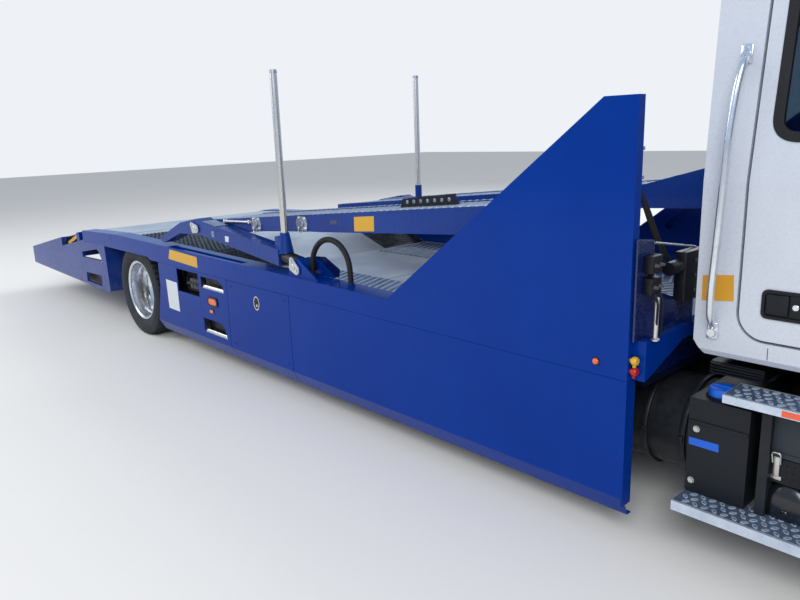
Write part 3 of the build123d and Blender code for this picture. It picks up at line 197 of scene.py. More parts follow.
def lathe(shape, profile, place, steps=32, lowered=None):
    # profile is radius and height, turned about local Z, and lowered gives how far a point sinks
    rings = []
    for row, (radius, height) in enumerate(profile):
        ring = []
        for i in range(steps if radius else 1):
            reach = radius - lowered(row, i) if lowered else radius
            ring.append(shape.verts.new(polar(place, reach, circle * i / steps, height).translation))
        rings.append(ring)
    for first, second in zip(rings, rings[1:]):
        if len(first) == len(second):
            band(shape, first, second)
        else:
            tip, ring = sorted((first, second), key=len)
            for i in range(steps):
                shape.faces.new((tip[0], ring[i], ring[(i + 1) % steps]))


def box(shape, low, high, place, rounding=0):
    before = set(shape.edges)
    outline = ((low[0], low[1]), (high[0], low[1]), (high[0], high[1]), (low[0], high[1]))
    plate(shape, outline, high[2] - low[2], place, low[2])
    if rounding:
        edges = [edge for edge in shape.edges if edge not in before]
        bmesh.ops.bevel(shape, geom=edges, offset=rounding, segments=2, affect="EDGES", profile=0.5)


def pipe(shape, points, radius, steps=12, closed=True):
    # a tube along points, whose section turns with the line; radius is one number or one a point
    count = len(points)
    radii = radius if isinstance(radius, list) else [radius] * count
    ways = [(points[min(i + 1, count - 1)] - points[max(i - 1, 0)]).normalized() for i in range(count)]
    side = ways[0].orthogonal().normalized()
    rings = []
    for point, way, reach in zip(points, ways, radii):
        side = (side - side.dot(way) * way).normalized()
        other = way.cross(side)
        rings.append([shape.verts.new(point + reach * (math.cos(circle * i / steps) * side
                                                       + math.sin(circle * i / steps) * other))
                      for i in range(steps)])
    for first, second in zip(rings, rings[1:]):
        band(shape, first, second)
    if closed:
        shape.faces.new(rings[0][::-1])
        shape.faces.new(rings[-1])


def arc(start, corner, end, steps):
    shares = [i / steps for i in range(steps + 1)]
    return [(1 - t) ** 2 * start + 2 * t * (1 - t) * corner + t ** 2 * end for t in shares]


def line(shape, corners, bend, radius, steps=12, place=axlePlace):
    # a tube through corners, with each one rounded
    corners = [place @ Vector(corner) for corner in corners]
    points = [corners[0]]
    for before, corner, after in zip(corners, corners[1:], corners[2:]):
        into, out = before - corner, after - corner
        reach = min(bend, into.length * 0.45, out.length * 0.45)
        points += arc(corner + into.normalized() * reach, corner, corner + out.normalized() * reach, 6)
    pipe(shape, points + corners[-1:], radius, steps)


def roundRect(width, height, radius, steps=5, centre=(0, 0)):
    outline = []
    for cx, cy, first in ((1, 1, 0), (-1, 1, 90), (-1, -1, 180), (1, -1, 270)):
        for i in range(steps + 1):
            angle = math.radians(first + 90 * i / steps)
            outline.append((centre[0] + cx * (width / 2 - radius) + radius * math.cos(angle),
                            centre[1] + cy * (height / 2 - radius) + radius * math.sin(angle)))
    return outline


def oval(width, height, steps=40, turn=0, centre=(0, 0)):
    cosine, sine = math.cos(math.radians(turn)), math.sin(math.radians(turn))
    outline = []
    for i in range(steps):
        x, y = width / 2 * math.cos(circle * i / steps), height / 2 * math.sin(circle * i / steps)
        outline.append((centre[0] + x * cosine - y * sine, centre[1] + x * sine + y * cosine))
    return outline


def roundedLoop(corners, steps=6):
    # corners are across, up and radius, and each becomes a short arc
    points = [Vector(corner[:2]) for corner in corners]
    loop = []
    for i, corner in enumerate(points):
        into = (points[i - 1] - corner).normalized()
        out = (points[(i + 1) % len(points)] - corner).normalized()
        reach = corners[i][2] / math.tan(math.acos(max(-1, min(1, into.dot(out)))) / 2)
        loop += arc(corner + into * reach, corner, corner + out * reach, steps)
    return loop


def offsetLoop(loop, amount):
    # moves each point along the mean normal; positive is outwards on a loop drawn anticlockwise
    ways = [(Vector(loop[(i + 1) % len(loop)]) - Vector(loop[i - 1])).normalized() for i in range(len(loop))]
    return [(x + way.y * amount, y - way.x * amount) for (x, y), way in zip(loop, ways)]


def bolt(shape, place, size=10, height=8):
    # washer and hexagon head
    lathe(shape, ((size * 1.25, 0), (size * 1.25, height * 0.2), (0, height * 0.2)), place, 16)
    plate(shape, oval(size * 2, size * 2, 6), height, place)


# Finishes, whose colours are given as the screen shows them
def feed(tree, made, inputs):
    # each input takes a plain value or another node's output
    for name, value in inputs.items():
        if isinstance(value, bpy.types.NodeSocket):
            tree.links.new(value, made.inputs[name])
        else:
            made.inputs[name].default_value = value


def addNode(tree, kind, inputs=None, **settings):
    made = tree.nodes.new("ShaderNode" + kind)
    for name, value in settings.items():
        setattr(made, name, value)
    feed(tree, made, inputs or {})
    return made.outputs


def newFinish(name):
    finish = bpy.data.materials.new(name)
    finish.use_nodes = True
    tree = finish.node_tree
    return finish, tree, tree.nodes["Principled BSDF"], addNode(tree, "TexCoord")["Object"]


def noiseOf(tree, coords, scale, detail=4, stretch=(1, 1, 1)):
    spots = addNode(tree, "Mapping", {"Scale": stretch, "Vector": coords})["Vector"]
    inputs = {"Scale": scale, "Detail": detail, "Roughness": 0.55, "Vector": spots}
    return addNode(tree, "TexNoise", inputs)["Fac"]


def between(tree, value, low, high, start=0.3, end=0.7):
    limits = {"From Min": start, "From Max": end, "To Min": low, "To Max": high, "Value": value}
    return addNode(tree, "MapRange", limits)["Result"]


def mixColour(tree, factor, first, second):
    # sockets 6 and 7 are the mixed colours, and output 2 is their mix
    first, second = ((*colour, 1) if isinstance(colour, tuple) else colour for colour in (first, second))
    return addNode(tree, "Mix", {"Factor": factor, 6: first, 7: second}, data_type="RGBA")[2]


def srgb(colour):
    return tuple(value / 255 / 12.92 if value / 255 <= 0.04045 else ((value / 255 + 0.055) / 1.055) ** 2.4
                 for value in colour)


def makeFinish(name, colour, shade, rough=(0.3, 0.45), metal=0, coat=0, patch=1.5, grain=60, bump=0.1,
               stretch=(1, 1, 1), dust=None, dustTop=0.35, gloss=0.5, side=None):
    # colour drifts towards shade in large soft patches, and dust gathers near the ground
    finish, tree, shader, coords = newFinish(name)
    drift = between(tree, noiseOf(tree, coords, patch), 0, 1, 0.35, 0.65)
    base = mixColour(tree, drift, srgb(colour), srgb(shade))
    if dust:
        height = addNode(tree, "SeparateXYZ", {"Vector": coords})["Z"]
        speck = between(tree, noiseOf(tree, coords, 9, 8), 0.1, 1, 0.35, 0.7)
        parts = {0: between(tree, height, dustTop, 0, 0.1, 1.1), 1: speck}
        amount = addNode(tree, "Math", parts, operation="MULTIPLY")
        base = mixColour(tree, amount["Value"], base, srgb(dust))
    if side:
        # painted light by facing: faces that look up keep the lighter colour, a painted sunlit and sky-lit
        # tone, and faces that don't look up take the darker side colour as painted shade
        upward = addNode(tree, "SeparateXYZ", {"Vector": addNode(tree, "NewGeometry")["Normal"]})["Z"]
        base = mixColour(tree, between(tree, upward, 0, 1, 0.3, 0.6), srgb(side), base)
    fine = noiseOf(tree, coords, grain, 5, stretch)
    feed(tree, shader, {"Base Color": base, "Roughness": between(tree, fine, *rough), "Metallic": metal,
                        "Coat Weight": coat, "Specular IOR Level": gloss, "Coat Roughness": 0.06})
    if bump:
        relief = addNode(tree, "Bump", {"Strength": bump, "Distance": 0.0005, "Height": fine})
        feed(tree, shader, {"Normal": relief["Normal"]})
    return finish


dustTone = (150, 140, 122)
blue = makeFinish("blue_paint", (0, 46, 132), (0, 50, 138), (0.14, 0.2), coat=0.04, bump=0.01, gloss=0.1)
wornBlue = makeFinish("worn_blue_paint", (4, 44, 124), (14, 54, 132), (0.24, 0.36), coat=0.08, bump=0.02,
                      dust=dustTone, dustTop=0.18, gloss=0.2)
darkBlue = makeFinish("dark_blue_paint", (6, 22, 74), (9, 28, 84), (0.22, 0.3), coat=0.4, bump=0.02)
# white paint, greyed and tinted blue: the paint's own white with painted shade and painted sky reflection in
# it
white = makeFinish("white_paint", (194, 200, 211), (187, 194, 206), (0.27, 0.28), coat=0.4, bump=0,
                   dust=dustTone, dustTop=0.06)
chassisBlack = makeFinish("chassis_black", (12, 15, 20), (20, 23, 28), (0.35, 0.6), bump=0.25, grain=35,
                          dust=(92, 98, 106), dustTop=0.14, gloss=0.35)
satinBlack = makeFinish("satin_black", (8, 10, 14), (14, 16, 20), (0.35, 0.5), grain=300, bump=0.2,
                        gloss=0.35)
stainless = makeFinish("stainless", (222, 216, 206), (206, 202, 196), (0.22, 0.3), metal=0.92, grain=90,
                       stretch=(1, 1, 0.06), bump=0.015)
zinc = makeFinish("zinc", (168, 176, 186), (138, 148, 160), (0.35, 0.55), metal=0.85, patch=22, grain=140,
                  bump=0.2)
polished = makeFinish("polished_rim", (226, 228, 232), (206, 210, 216), (0.14, 0.28), metal=0.88, grain=40,
                      bump=0.04, patch=3)
castGrey = makeFinish("cast_grey", (92, 95, 98), (70, 72, 75), (0.5, 0.7), metal=0.3, grain=120, bump=0.5)
hubGrey = makeFinish("hub_grey", (74, 78, 84), (58, 61, 66), (0.35, 0.55), metal=0.6, grain=90, bump=0.3,
                     dust=dustTone, dustTop=0.3)
rubber = makeFinish("rubber", (14, 15, 18), (24, 24, 27), (0.55, 0.75), grain=120, bump=0.2, gloss=0.35)
tyreRubber = makeFinish("tyre_rubber", (24, 27, 32), (34, 37, 42), (0.6, 0.8), grain=90, bump=0.25,
                        dust=(100, 106, 114), dustTop=0.2, gloss=0.3)
trimBlack = makeFinish("trim_plastic", (8, 12, 18), (14, 18, 24), (0.4, 0.55), grain=500, bump=0.4,
                       gloss=0.35)
amber = makeFinish("amber_lens", (232, 110, 16), (220, 92, 10), (0.08, 0.14), coat=0.5, grain=200, bump=0.05)
redLens = makeFinish("red_lens", (170, 12, 14), (150, 8, 10), (0.08, 0.14), coat=0.5, grain=200, bump=0.05)
yellowSheet, whiteSheet, amberSheet, orangeSheet = (
    makeFinish(f"{name}_sheet", colour, shade, (0.35, 0.5), grain=80, bump=0.05) for name, colour, shade in (
        ("yellow", (214, 168, 44), (204, 156, 36)), ("white", (206, 212, 216), (196, 203, 209)),
        ("amber", (206, 150, 34), (196, 138, 28)), ("orange", (224, 96, 60), (214, 88, 52))))
whiteSteel = makeFinish("white_steel", (198, 202, 206), (176, 180, 186), metal=0.4, grain=160, bump=0.15,
                        patch=18)
stepMetal = makeFinish("step_aluminium", (206, 216, 230), (186, 198, 216), (0.26, 0.4), metal=0.5, grain=150,
                       patch=12)
mirrorPane = makeFinish("mirror_pane", (222, 226, 230), (216, 220, 226), (0.01, 0.03), metal=1, grain=20,
                        bump=0)
seatCloth = makeFinish("seat_cloth", (52, 54, 58), (42, 44, 48), (0.75, 0.9), grain=700, bump=0.6)
darkGrate = makeFinish("dark_grating", (92, 96, 100), (60, 64, 68), (0.4, 0.6), metal=0.7, grain=140,
                       bump=0.3, patch=14)
capBlue = makeFinish("cap_blue", (10, 104, 226), (12, 92, 206), (0.3, 0.4), grain=260)
# deck and tread plates: light tops and dark blue sides, painted light on faces that look up and painted shade
# on the others
deckSteel = makeFinish("deck_steel", (196, 202, 206), (174, 184, 194), (0.4, 0.6), metal=0.45, patch=3.4,
                       grain=140, bump=0.2, side=(4, 16, 50))
treadBase = makeFinish("tread_base", (112, 132, 160), (84, 104, 134), (0.35, 0.55), metal=0.6, patch=5,
                       grain=150, bump=0.2, side=(10, 30, 90))
treadSteel = makeFinish("tread_steel", (212, 220, 230), (176, 190, 208), (0.3, 0.46), metal=0.5, patch=14,
                        grain=150, bump=0.25)
coverGrey = makeFinish("cover_grey", (34, 42, 50), (26, 34, 42), (0.45, 0.6), grain=260, bump=0.3)
glossBlack = makeFinish("gloss_black", (10, 12, 16), (16, 18, 22), (0.18, 0.3), coat=0.4, bump=0.05)
redPaint = makeFinish("red_paint", (178, 26, 22), (160, 20, 18), (0.3, 0.4), grain=90, bump=0.08)


def makeGlass(name, colour):
    finish, tree, shader, coords = newFinish(name)
    smear = noiseOf(tree, coords, 4)
    tint = srgb(colour)
    feed(tree, shader, {"Roughness": between(tree, smear, 0.02, 0.07), "Transmission Weight": 1, "IOR": 1.1,
                        "Base Color": mixColour(tree, smear, tint, tuple(value * 0.92 for value in tint))})
    return finish


cabPane = makeGlass("cab_pane", (150, 162, 166))
lampPane = makeGlass("lamp_pane", (236, 240, 244))
print("finishes made")

# Finishes of the CAD pieces that stay, with {} for the side
nodeFinish = (
    (amber, "marker_lamps"),
    (blue, "side_beams skirts tool_door_{}"),
    (cabPane, "cab_glass door_glass_{}"),
    (castGrey, "engine"),
    (chassisBlack, "air_tanks battery_box cab_floor chassis_frame exhaust_drum"),
    (chassisBlack, "front_axle knuckle_{} rear_axle tie_rod"),
    (deckSteel, "deck"),
    (lampPane, "headlamps"),
    (polished, "front_rim_{} rear_rims_{}"),
    (rubber, "lift_hose"),
    (stainless, "grille post_{}"),
    (trimBlack, "cab_interior def_tank"),
    (tyreRubber, "front_tyre_{} rear_tyres_{}"),
    (white, "cab_back cab_door_{} cab_front cab_roof cab_sides front_bumper hood"),
    (wornBlue, "lift_arm_{} skid_{} tail_frame"),
    (zinc, "fuel_tank"),
)
for finish, names in nodeFinish:
    for node in {name.format(side) for name in names.split() for side in ("left", "right")}:
        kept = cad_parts[node].data.materials
        kept.clear()
        kept.append(finish)
print("frame dressed")

# Hydraulic hose loop beside the right arm
hose = {
    "route": ((2960, -1180, 986.9), (2960, -1180, 1075), (3000, -1182, 1170), (3090, -1186, 1240),
              (3200, -1190, 1262),
              (3310, -1194, 1235), (3390, -1198, 1160), (3415, -1200, 1070), (3415, -1200, 981.9)),
    "length": 811,
    "diameter": 40,
    "ridgePitch": 13.5,
    "ridgeDepth": 2.4,
    "ringsPerRidge": 6,
}


def addHose():
    route = [at(*spot) for spot in hose["route"]]
    curve = bpy.data.curves.new("hose_route", "CURVE")
    curve.dimensions = "3D"
    spline = curve.splines.new("NURBS")
    spline.points.add(len(route) - 1)
    for point, spot in zip(spline.points, route):
        point.co = (*spot, 1)
    spline.order_u = 3
    spline.use_endpoint_u = True
    spline.resolution_u = 30
    drawn = bpy.data.objects.new("hose_route", curve)
    bpy.context.collection.objects.link(drawn)
    points = [vertex.co.copy() for vertex in bpy.data.meshes.new_from_object(drawn).vertices]
    bpy.data.objects.remove(drawn)
    # rings at even distances along the spline carry the ridges
    gaps = [(after - before).length for before, after in zip(points, points[1:])]
    count = round(sum(gaps) / hose["ridgePitch"]) * hose["ringsPerRidge"]
    step = sum(gaps) / count
    rings, passed, place = [points[0]], 0, 0
    for i in range(1, count):
        while passed + gaps[place] < i * step:
            passed += gaps[place]
            place += 1
        rings.append(points[place].lerp(points[place + 1], (i * step - passed) / gaps[place]))
    rings.append(points[-1])
    waves = [0.5 - 0.5 * math.cos(circle * i / hose["ringsPerRidge"]) for i in range(count + 1)]
    radii = [hose["diameter"] / 2 - hose["ridgeDepth"] * wave for wave in waves]
    shape = bmesh.new()
    pipe(shape, rings, radii, 20)
    loop = finishPiece("hose_loop", shape, rubber, "truck", 50)
    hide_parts("lift_hose")


addHose()
print("hose made")

# Tyres, with ribs on the steered wheels and lugs on the driven ones
tyre = {
    "steps": 300,
    "crown": 464,
    "fall": 0.00038,
    "depth": 11,
    "half": 102.5,
    "side": ((98.5, 290), (98.5, 303), (102, 307), (108.5, 318), (111, 321), (120, 340), (125.5, 360),
             (127, 376), (127, 392), (128.5, 396), (128.5, 401), (126.5, 405), (124.5, 420), (122, 433),
             (118.5, 445), (112, 454.5)),
    "shift": (0, 3, 1, 4, 0),
}
wheels = {
    # grooves are places across the tread, cut is the depth of the lateral cuts and pitch the steps between
    # them, out is how far the wheels are from the truck's middle, and middles the tyres' places from there
    "rear": {"ahead": 0, "out": 1000, "middles": (145, -145), "tyres": "rear_tyres_{}",
             "rims": "rear_rims_{}", "body": "rear_wheels_{}", "grooves": (-60, -20, 20, 60), "width": 9,
             "cut": 13, "pitch": 6, "face": 12,
             "disc": ((100, 0.5), (100, 12), (222, 12), (236, 14), (275, 46), (284, 55), (284, 43), (272, 26),
                      (245, 0.5)),
             "hub": ((0, 110), (45, 110), (50, 108), (80, 100), (85, 96), (86, 80), (104, 76), (105, 70),
                     (105, 60), (108, 13), (118, 12), (118, 2), (110, -12), (198, -160), (200, -170),
                     (45.5, -170), (45.5, 60), (0, 60))},
    "front": {"ahead": 7350, "out": 1040, "middles": (0,), "tyres": "front_tyre_{}", "rims": "front_rim_{}",
              "body": "front_wheel_{}", "grooves": (-64, -22, 22, 64), "width": 10, "cut": 3, "pitch": 4,
              "face": 125,
              "disc": ((85, 113), (85, 125), (196, 125), (206, 123.5), (213, 119), (272, 73), (284, 65),
                       (284, 50), (268, 59), (208, 109), (200, 113)),
              "hub": ((0, 195), (30, 195), (48, 192), (56, 185), (58, 150), (78, 147), (88, 141), (90, 126),
                      (118, 118), (120, 113), (198, -10), (200, -20), (45.5, -20), (45.5, 145), (0, 145))},
}
rim = {
    # half of the barrel's section, whose other half is its mirror image
    "barrel": ((274.5, 66), (279.5, 78), (279.5, 96), (283.5, 99.5), (290.5, 101), (296.5, 104.8), (302, 105),
               (302.5, 102), (302, 99), (289.5, 98.5)),
    "holes": 5,
    "holeCircle": 205,
    "holeRadius": 33,
    "nutCircle": 167.5,
    "nuts": 10,
    "hubBolts": 8,
    "hubCircle": 94.5,
}


def crownAt(across):
    return tyre["crown"] - tyre["fall"] * across ** 2


def tyreShape(shape, place, spec):
    profile = [(radius, -across, None) for across, radius in tyre["side"]]
    edge = -tyre["half"]
    for rib, groove in enumerate((*spec["grooves"], None)):
        end = tyre["half"] if groove is None else groove - spec["width"] / 2
        for i in range(4):
            across = edge + (end - edge) * i / 3
            profile.append((crownAt(across), across, rib))
        if groove is not None:
            for across in (groove - spec["width"] / 2 + 1.5, groove + spec["width"] / 2 - 1.5):
                profile.append((crownAt(across) - tyre["depth"], across, None))
            edge = groove + spec["width"] / 2
    profile += [(radius, across, None) for across, radius in reversed(tyre["side"])]
    profile.append(profile[0])

    def lowered(row, step):
        rib = profile[row][2]
        return spec["cut"] if rib is not None and (step + tyre["shift"][rib]) % spec["pitch"] == 0 else 0

    lathe(shape, [(radius, height) for radius, height, rib in profile], place, tyre["steps"], lowered)


def cutAway(shape, cutter):
    made = []
    for source in (shape, cutter):
        mesh = bpy.data.meshes.new("cut")
        bmesh.ops.recalc_face_normals(source, faces=source.faces)
        source.to_mesh(mesh)
        source.free()
        made.append(bpy.data.objects.new("cut", mesh))
        bpy.context.collection.objects.link(made[-1])
    change = made[0].modifiers.new("cut", "BOOLEAN")
    change.operation = "DIFFERENCE"
    change.solver = "EXACT"
    change.object = made[1]
    result = bpy.data.meshes.new_from_object(made[0].evaluated_get(bpy.context.evaluated_depsgraph_get()))
    for item in made:
        bpy.data.objects.remove(item)
    shape = bmesh.new()
    shape.from_mesh(result)
    return shape


def addWheels(kind, spec):
    place = toRight(spec["out"], spec["ahead"], tyre["crown"])
    tyres, discs, barrels, holes, hub, nuts = (bmesh.new() for i in range(6))
    barrel = [*rim["barrel"], *((radius, -height) for radius, height in reversed(rim["barrel"])),
              rim["barrel"][0]]
    for middle in spec["middles"]:
        tyreShape(tyres, moved(place, 0, 0, middle), spec)
        lathe(barrels, barrel, moved(place, 0, 0, middle), 96)
    for way in (1, -1) if kind == "rear" else (1,):
        loop = [(radius, way * height) for radius, height in spec["disc"]]
        lathe(discs, loop + loop[:1], place, 96)
    for i in range(rim["holes"]):
        spot = polar(place, rim["holeCircle"], math.radians(-20 - 360 * i / rim["holes"]))
        lathe(holes, ((0, -60), (rim["holeRadius"], -60), (rim["holeRadius"], 160), (0, 160)), spot, 28)
    discs = cutAway(discs, holes)
    for i in range(rim["nuts"]):
        spot = polar(place, rim["nutCircle"], circle * (i + 0.5) / rim["nuts"], spec["face"])
        lathe(nuts, ((21, 0), (21, 4), (17, 6), (0, 6)), spot, 20)
        bolt(nuts, spot, 16.5, 26)
        lathe(nuts, ((9.5, 20), (9.5, 36), (7.5, 39), (0, 39)), spot, 14)
    lathe(hub, spec["hub"], place, 64)
    for i in range(rim["hubBolts"] if kind == "rear" else 0):
        bolt(nuts, polar(place, rim["hubCircle"], circle * i / rim["hubBolts"], 76), 8.5, 12)
    parts = (
        ("tyres", tyres, tyreRubber, "tyre_rubber", spec["tyres"]),
        ("rim_barrels", barrels, polished, "rim_silver", spec["rims"]),
        ("rim_discs", discs, polished, "rim_silver", None),
        ("hubs", hub, hubGrey, "cast_block", None),
        ("wheel_nuts", nuts, stainless, "chrome_trim", None),
    )
    for side in ("right", "left"):
        for name, shape, finish, slotName, node in parts:
            copy = shape.copy()
            if side == "left":
                mirror(copy)
            made = finishPiece(f"{kind}_{name}_{side}", copy, finish, spec["body"].format(side), 30)
            if node:
                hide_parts(node.format(side))


for kind, spec in wheels.items():
    addWheels(kind, spec)
print("wheels made")

# Lamps along the sides and across the tail
lamps = {"tailX": -3455, "tailInsets": (160, 330, 500), "tailZ": 480, "bullet": (5326, 893),
         "round": (1633, 600), "clearance": (1602, 512)}
tailPlaces = [toRear(lamps["tailX"], inset - sideY, lamps["tailZ"]) for inset in lamps["tailInsets"]]
bulletPlace, roundPlace, clearancePlace = (
    toRight(sideY, *lamps[key]) for key in ("bullet", "round", "clearance"))


@piece("tail_lenses", redLens)
def tailLenses(shape):
    for place in tailPlaces:
        lathe(shape, ((0, -3), (12, -3.2), (30, -4.5), (44.5, -9), (46, -24), (0, -24)), place, 40)
        for i in range(6):
            lathe(shape, ((1.2, -6), (2.2, -2.2), (0, -1.6)), polar(place, 24, math.pi * i / 3), 10)


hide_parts("marker_lamps")


@piece("tail_lamp_grommets", rubber)
def tailGrommets(shape):
    for place in tailPlaces:
        profile = ((45.5, -24), (45.5, -4), (48.5, -0.8), (53, -0.8), (54.9, -3), (54.9, -24.5), (45.5, -24))
        lathe(shape, profile, place, 40)


@piece("side_lenses", amber)
def sideLenses(shape):
    lathe(shape, ((0, 15.8), (6, 15.4), (11.5, 12.5), (14.8, 8), (15.2, 2), (0, 2)), bulletPlace, 28)
    for inset, low, high in ((0, 2, 7), (10, 7, 9.5), (28, 9.5, 11.2)):
        plate(shape, roundRect(136 - inset, 52 - inset, (52 - inset) / 2 - 0.5), high - low, roundPlace, low)
    plate(shape, roundRect(56, 26, 6), 7, clearancePlace, 1)


@piece("side_lamp_bezels", satinBlack)
def sideBezels(shape):
    lathe(shape, ((15.2, 0), (15.2, 3), (17.2, 3.2), (18.2, 1.5), (18.2, 0)), bulletPlace, 28)
    frameRing(shape, roundRect(178, 84, 41, 10), roundRect(138, 54, 26.5, 10), 8.5, roundPlace)
    frameRing(shape, roundRect(68, 38, 9), roundRect(56, 26, 6), 4.5, clearancePlace)
    for shift in (-79, 79):
        bolt(shape, moved(roundPlace, shift, 0, 8.5), 4, 1.5)


print("lamps made")

# Blank labels, in their places but with nothing printed on them
labels = (
    # name, body, distance right, finish, corners as distance ahead and height
    ("beam_label", "truck", 1295, yellowSheet, ((850, 888), (1412, 868), (1412, 962), (888, 979))),
    ("side_label", "truck", 1295, whiteSheet, ((752, 409), (970, 405), (968, 677), (742, 683))),
    ("runway_label", "skid_right", 1105, yellowSheet,
     ((3360, 1316), (3562, 1332), (3566, 1430), (3363, 1412))),
    ("runway_patch", "skid_right", 1105, darkBlue, ((3094, 1343), (3171, 1352), (3173, 1380), (3096, 1372))),
    ("arm_label", "lift_arm_right", 1250, whiteSheet,
     ((1862, 1132), (1913, 1131), (1922, 1176), (1862, 1178))),
    ("cab_label", "truck", 1050, amberSheet, ((5686, 1190), (5822, 1206), (5815, 1318), (5684, 1302))),
    ("step_label", "truck", 1181.5, orangeSheet, ((6092, 804), (6230, 804), (6230, 829), (6092, 829))),
    ("fluid_label", "truck", 1130, capBlue, ((5708, 548), (5840, 548), (5838, 584), (5706, 582))),
)
for name, body, out, finish, corners in labels:
    piece(name, finish, body, 0, "right")(lambda shape: plate(shape, corners, 1.2, toRight(out)))

# Seams between the panels, as narrow dark lines
seams = (
    ((1400, 252), (1404, 252), (1404, 828), (1400, 828)),
    ((-1560, 462), (-1556, 462), (-1550, 790), (-1554, 790)),
    ((-545, 941), (-533, 941), (-537, 985), (-549, 985)),
)


@piece("panel_seams", satinBlack, smooth=0)
def panelSeams(shape):
    for corners in seams:
        plate(shape, corners, 0.4, toRight(sideY))


print("labels and seams made")

# Skirts: bent vent lips, the service recess and the tool doors' locks
vents = {
    # distance ahead from and to, lower edge and height of each
    "places": ((1447, 1833, 700, 104), (1437, 1833, 305, 132)),
    "inset": 6.2,
    "reach": 18,
}
recess = {"rear": 960, "front": 1420, "low": 590, "high": 822, "depth": 115, "valves": (1160, 1222, 1284),
          "filter": (1345, -1215, 625)}
lock = {"x": 2350, "z": 700, "width": 82, "height": 112, "rivets": ((1960, 2740), (300, 780))}
lockPlace = toRight(sideY, lock["x"], lock["z"])
lockHole = oval(lock["width"] - 16, lock["height"] - 18)
skirtFace = toRight(sideY)


# the skirt's blue bent lips take a bright stainless finish, a painted highlight along each vent's lower edge
@piece("vent_lips", stainless)
def ventLips(shape):
    near, far = vents["inset"] - sideY, vents["reach"] - sideY
    for rear, front, low, height in vents["places"]:
        plate(shape, ((near, low), (near, low + 4), (far, low + 24), (far, low + 20)), front - rear,
              toFront(rear))


# dark plates behind the vents: painted shade inside the openings
@piece("vent_shade_backs", satinBlack, smooth=0)
def ventShadeBacks(shape):
    for rear, front, low, height in vents["places"]:
        box(shape, (rear - 10, low - 6, -60), (front + 6, low + height, -56), skirtFace)


@piece("recess_back", satinBlack)
def recessBack(shape):
    rear, front, low, high, depth = (recess[key] for key in ("rear", "front", "low", "high", "depth"))
    box(shape, (rear, low, -depth), (front, high, 5 - depth), skirtFace)
    box(shape, (rear, low + 8, 5 - depth), (front, low + 14, -7), skirtFace)


@piece("recess_valves", castGrey)
def recessValves(shape):
    for x in recess["valves"]:
        box(shape, (x - 25, 655, -110), (x + 25, 735, -50), skirtFace, 6)
        lathe(shape, ((13, 0), (13, 18), (9, 20), (9, 34), (0, 34)), toRight(sideY - 50, x, 700), 18)
    box(shape, (1115, 642, -112), (1330, 655, -60), skirtFace, 3)


@piece("recess_lines", rubber)
def recessLines(shape):
    for x in recess["valves"]:
        line(shape, ((x, -1205, 735), (x, -1205, 775), (x - 50, -1200, 797), (x - 120, -1190, 790)), 30, 9)
        line(shape, ((x, -1215, 655), (x - 12, -1222, 632), (x - 90, -1222, 618), (x - 170, -1205, 650),
                     (x - 185, -1190, 720)), 40, 8)


@piece("recess_filter", yellowSheet)
def recessFilter(shape):
    lathe(shape, ((0, 0), (20, 0), (22, 3), (22, 40), (18, 46), (18, 60), (0, 60)),
          facing(at(*recess["filter"]), (-1, 0, 0.15)), 28)


@piece("lock_bezel", stainless, "tool_door_{}")
def lockBezel(shape):
    frameRing(shape, oval(lock["width"], lock["height"]), lockHole, 4, lockPlace)
    lathe(shape, ((10, -1), (10, 3.5), (8, 5), (0, 5)), moved(lockPlace, 4, -20), 24)


@piece("lock_dish", satinBlack, "tool_door_{}")
def lockDish(shape):
    plate(shape, lockHole, 0.8, lockPlace, -0.9)
    box(shape, (-17, -4, -1), (17, 34, 3), lockPlace, 2.5)


@piece("door_rivets", blue, "tool_door_{}")
def doorRivets(shape):
    for x in lock["rivets"][0]:
        for z in lock["rivets"][1]:
            lathe(shape, ((12, 0), (12, 1.2), (9.5, 3.2), (0, 3.8)), toRight(sideY, x, z), 20)


print("skirts fitted")

# Tail: folded window edges, and pockets with a yellow tie strap, its black hook and an upright bar
tail = {"rear": -3455, "height": 601, "slope": 0.18111, "windowDepth": 75}
tailWindows = (
    ((-1490, 655, 20), (-855, 672, 30), (-960, 790, 30), (-1020, 800, 30), (-1490, 727, 20)),
    ((-1440, 375, 20), (-955, 372, 24), (-945, 508, 24), (-1440, 493, 20)),
)
pocket = {"rear": -2180, "front": -1395, "bar": (-1636, -1546), "strap": ((-2120, 92), (-1665, 22)),
          "tie": ((-2100, -1225, 95), (-2020, -1222, 40), (-1930, -1220, 85), (-1840, -1222, 50)),
          "hooks": (-2130, -1480), "barDepth": 78, "strapDepth": 55, "liningDepth": 99}


def tailTop(x):
    return tail["height"] + tail["slope"] * (x - tail["rear"])


def underTop(rear, front, low, high, inset=0):
    # an outline between two distances below the tail's upper edge
    return ((rear + inset, tailTop(rear) - low), (front - inset, tailTop(front) - low),
            (front - inset, tailTop(front) - high), (rear + inset, tailTop(rear) - high))


@piece("window_backs", satinBlack, smooth=0)
def windowBacks(shape):
    plate(shape, ((-1600, 350), (-1600, 545), (-900, 545), (-890, 350)), 3,
          toRight(sideY - tail["windowDepth"]))


@piece("window_lips", wornBlue)
def windowLips(shape):
    for corners in tailWindows:
        loop = roundedLoop(corners, 4)
        frameRing(shape, loop, offsetLoop(loop, -6), 30, toRight(sideY), -30)


@piece("pocket_bars", blue)
def pocketBars(shape):
    plate(shape, underTop(*pocket["bar"], 105, 4), 70, toRight(sideY - pocket["barDepth"]))


@piece("pocket_straps", yellowSheet)
def pocketStraps(shape):
    start, end = (Vector((x, tailTop(x) - drop)) for x, drop in pocket["strap"])
    rise = (end - start).normalized()
    across = Vector((-rise.y, rise.x)) * 20
    plate(shape, (start - across, end - across, end + across, start + across), 3,
          toRight(sideY - pocket["strapDepth"]))
    line(shape, [(x, y, tailTop(x) - drop) for x, y, drop in pocket["tie"]], 50, 6, 8)


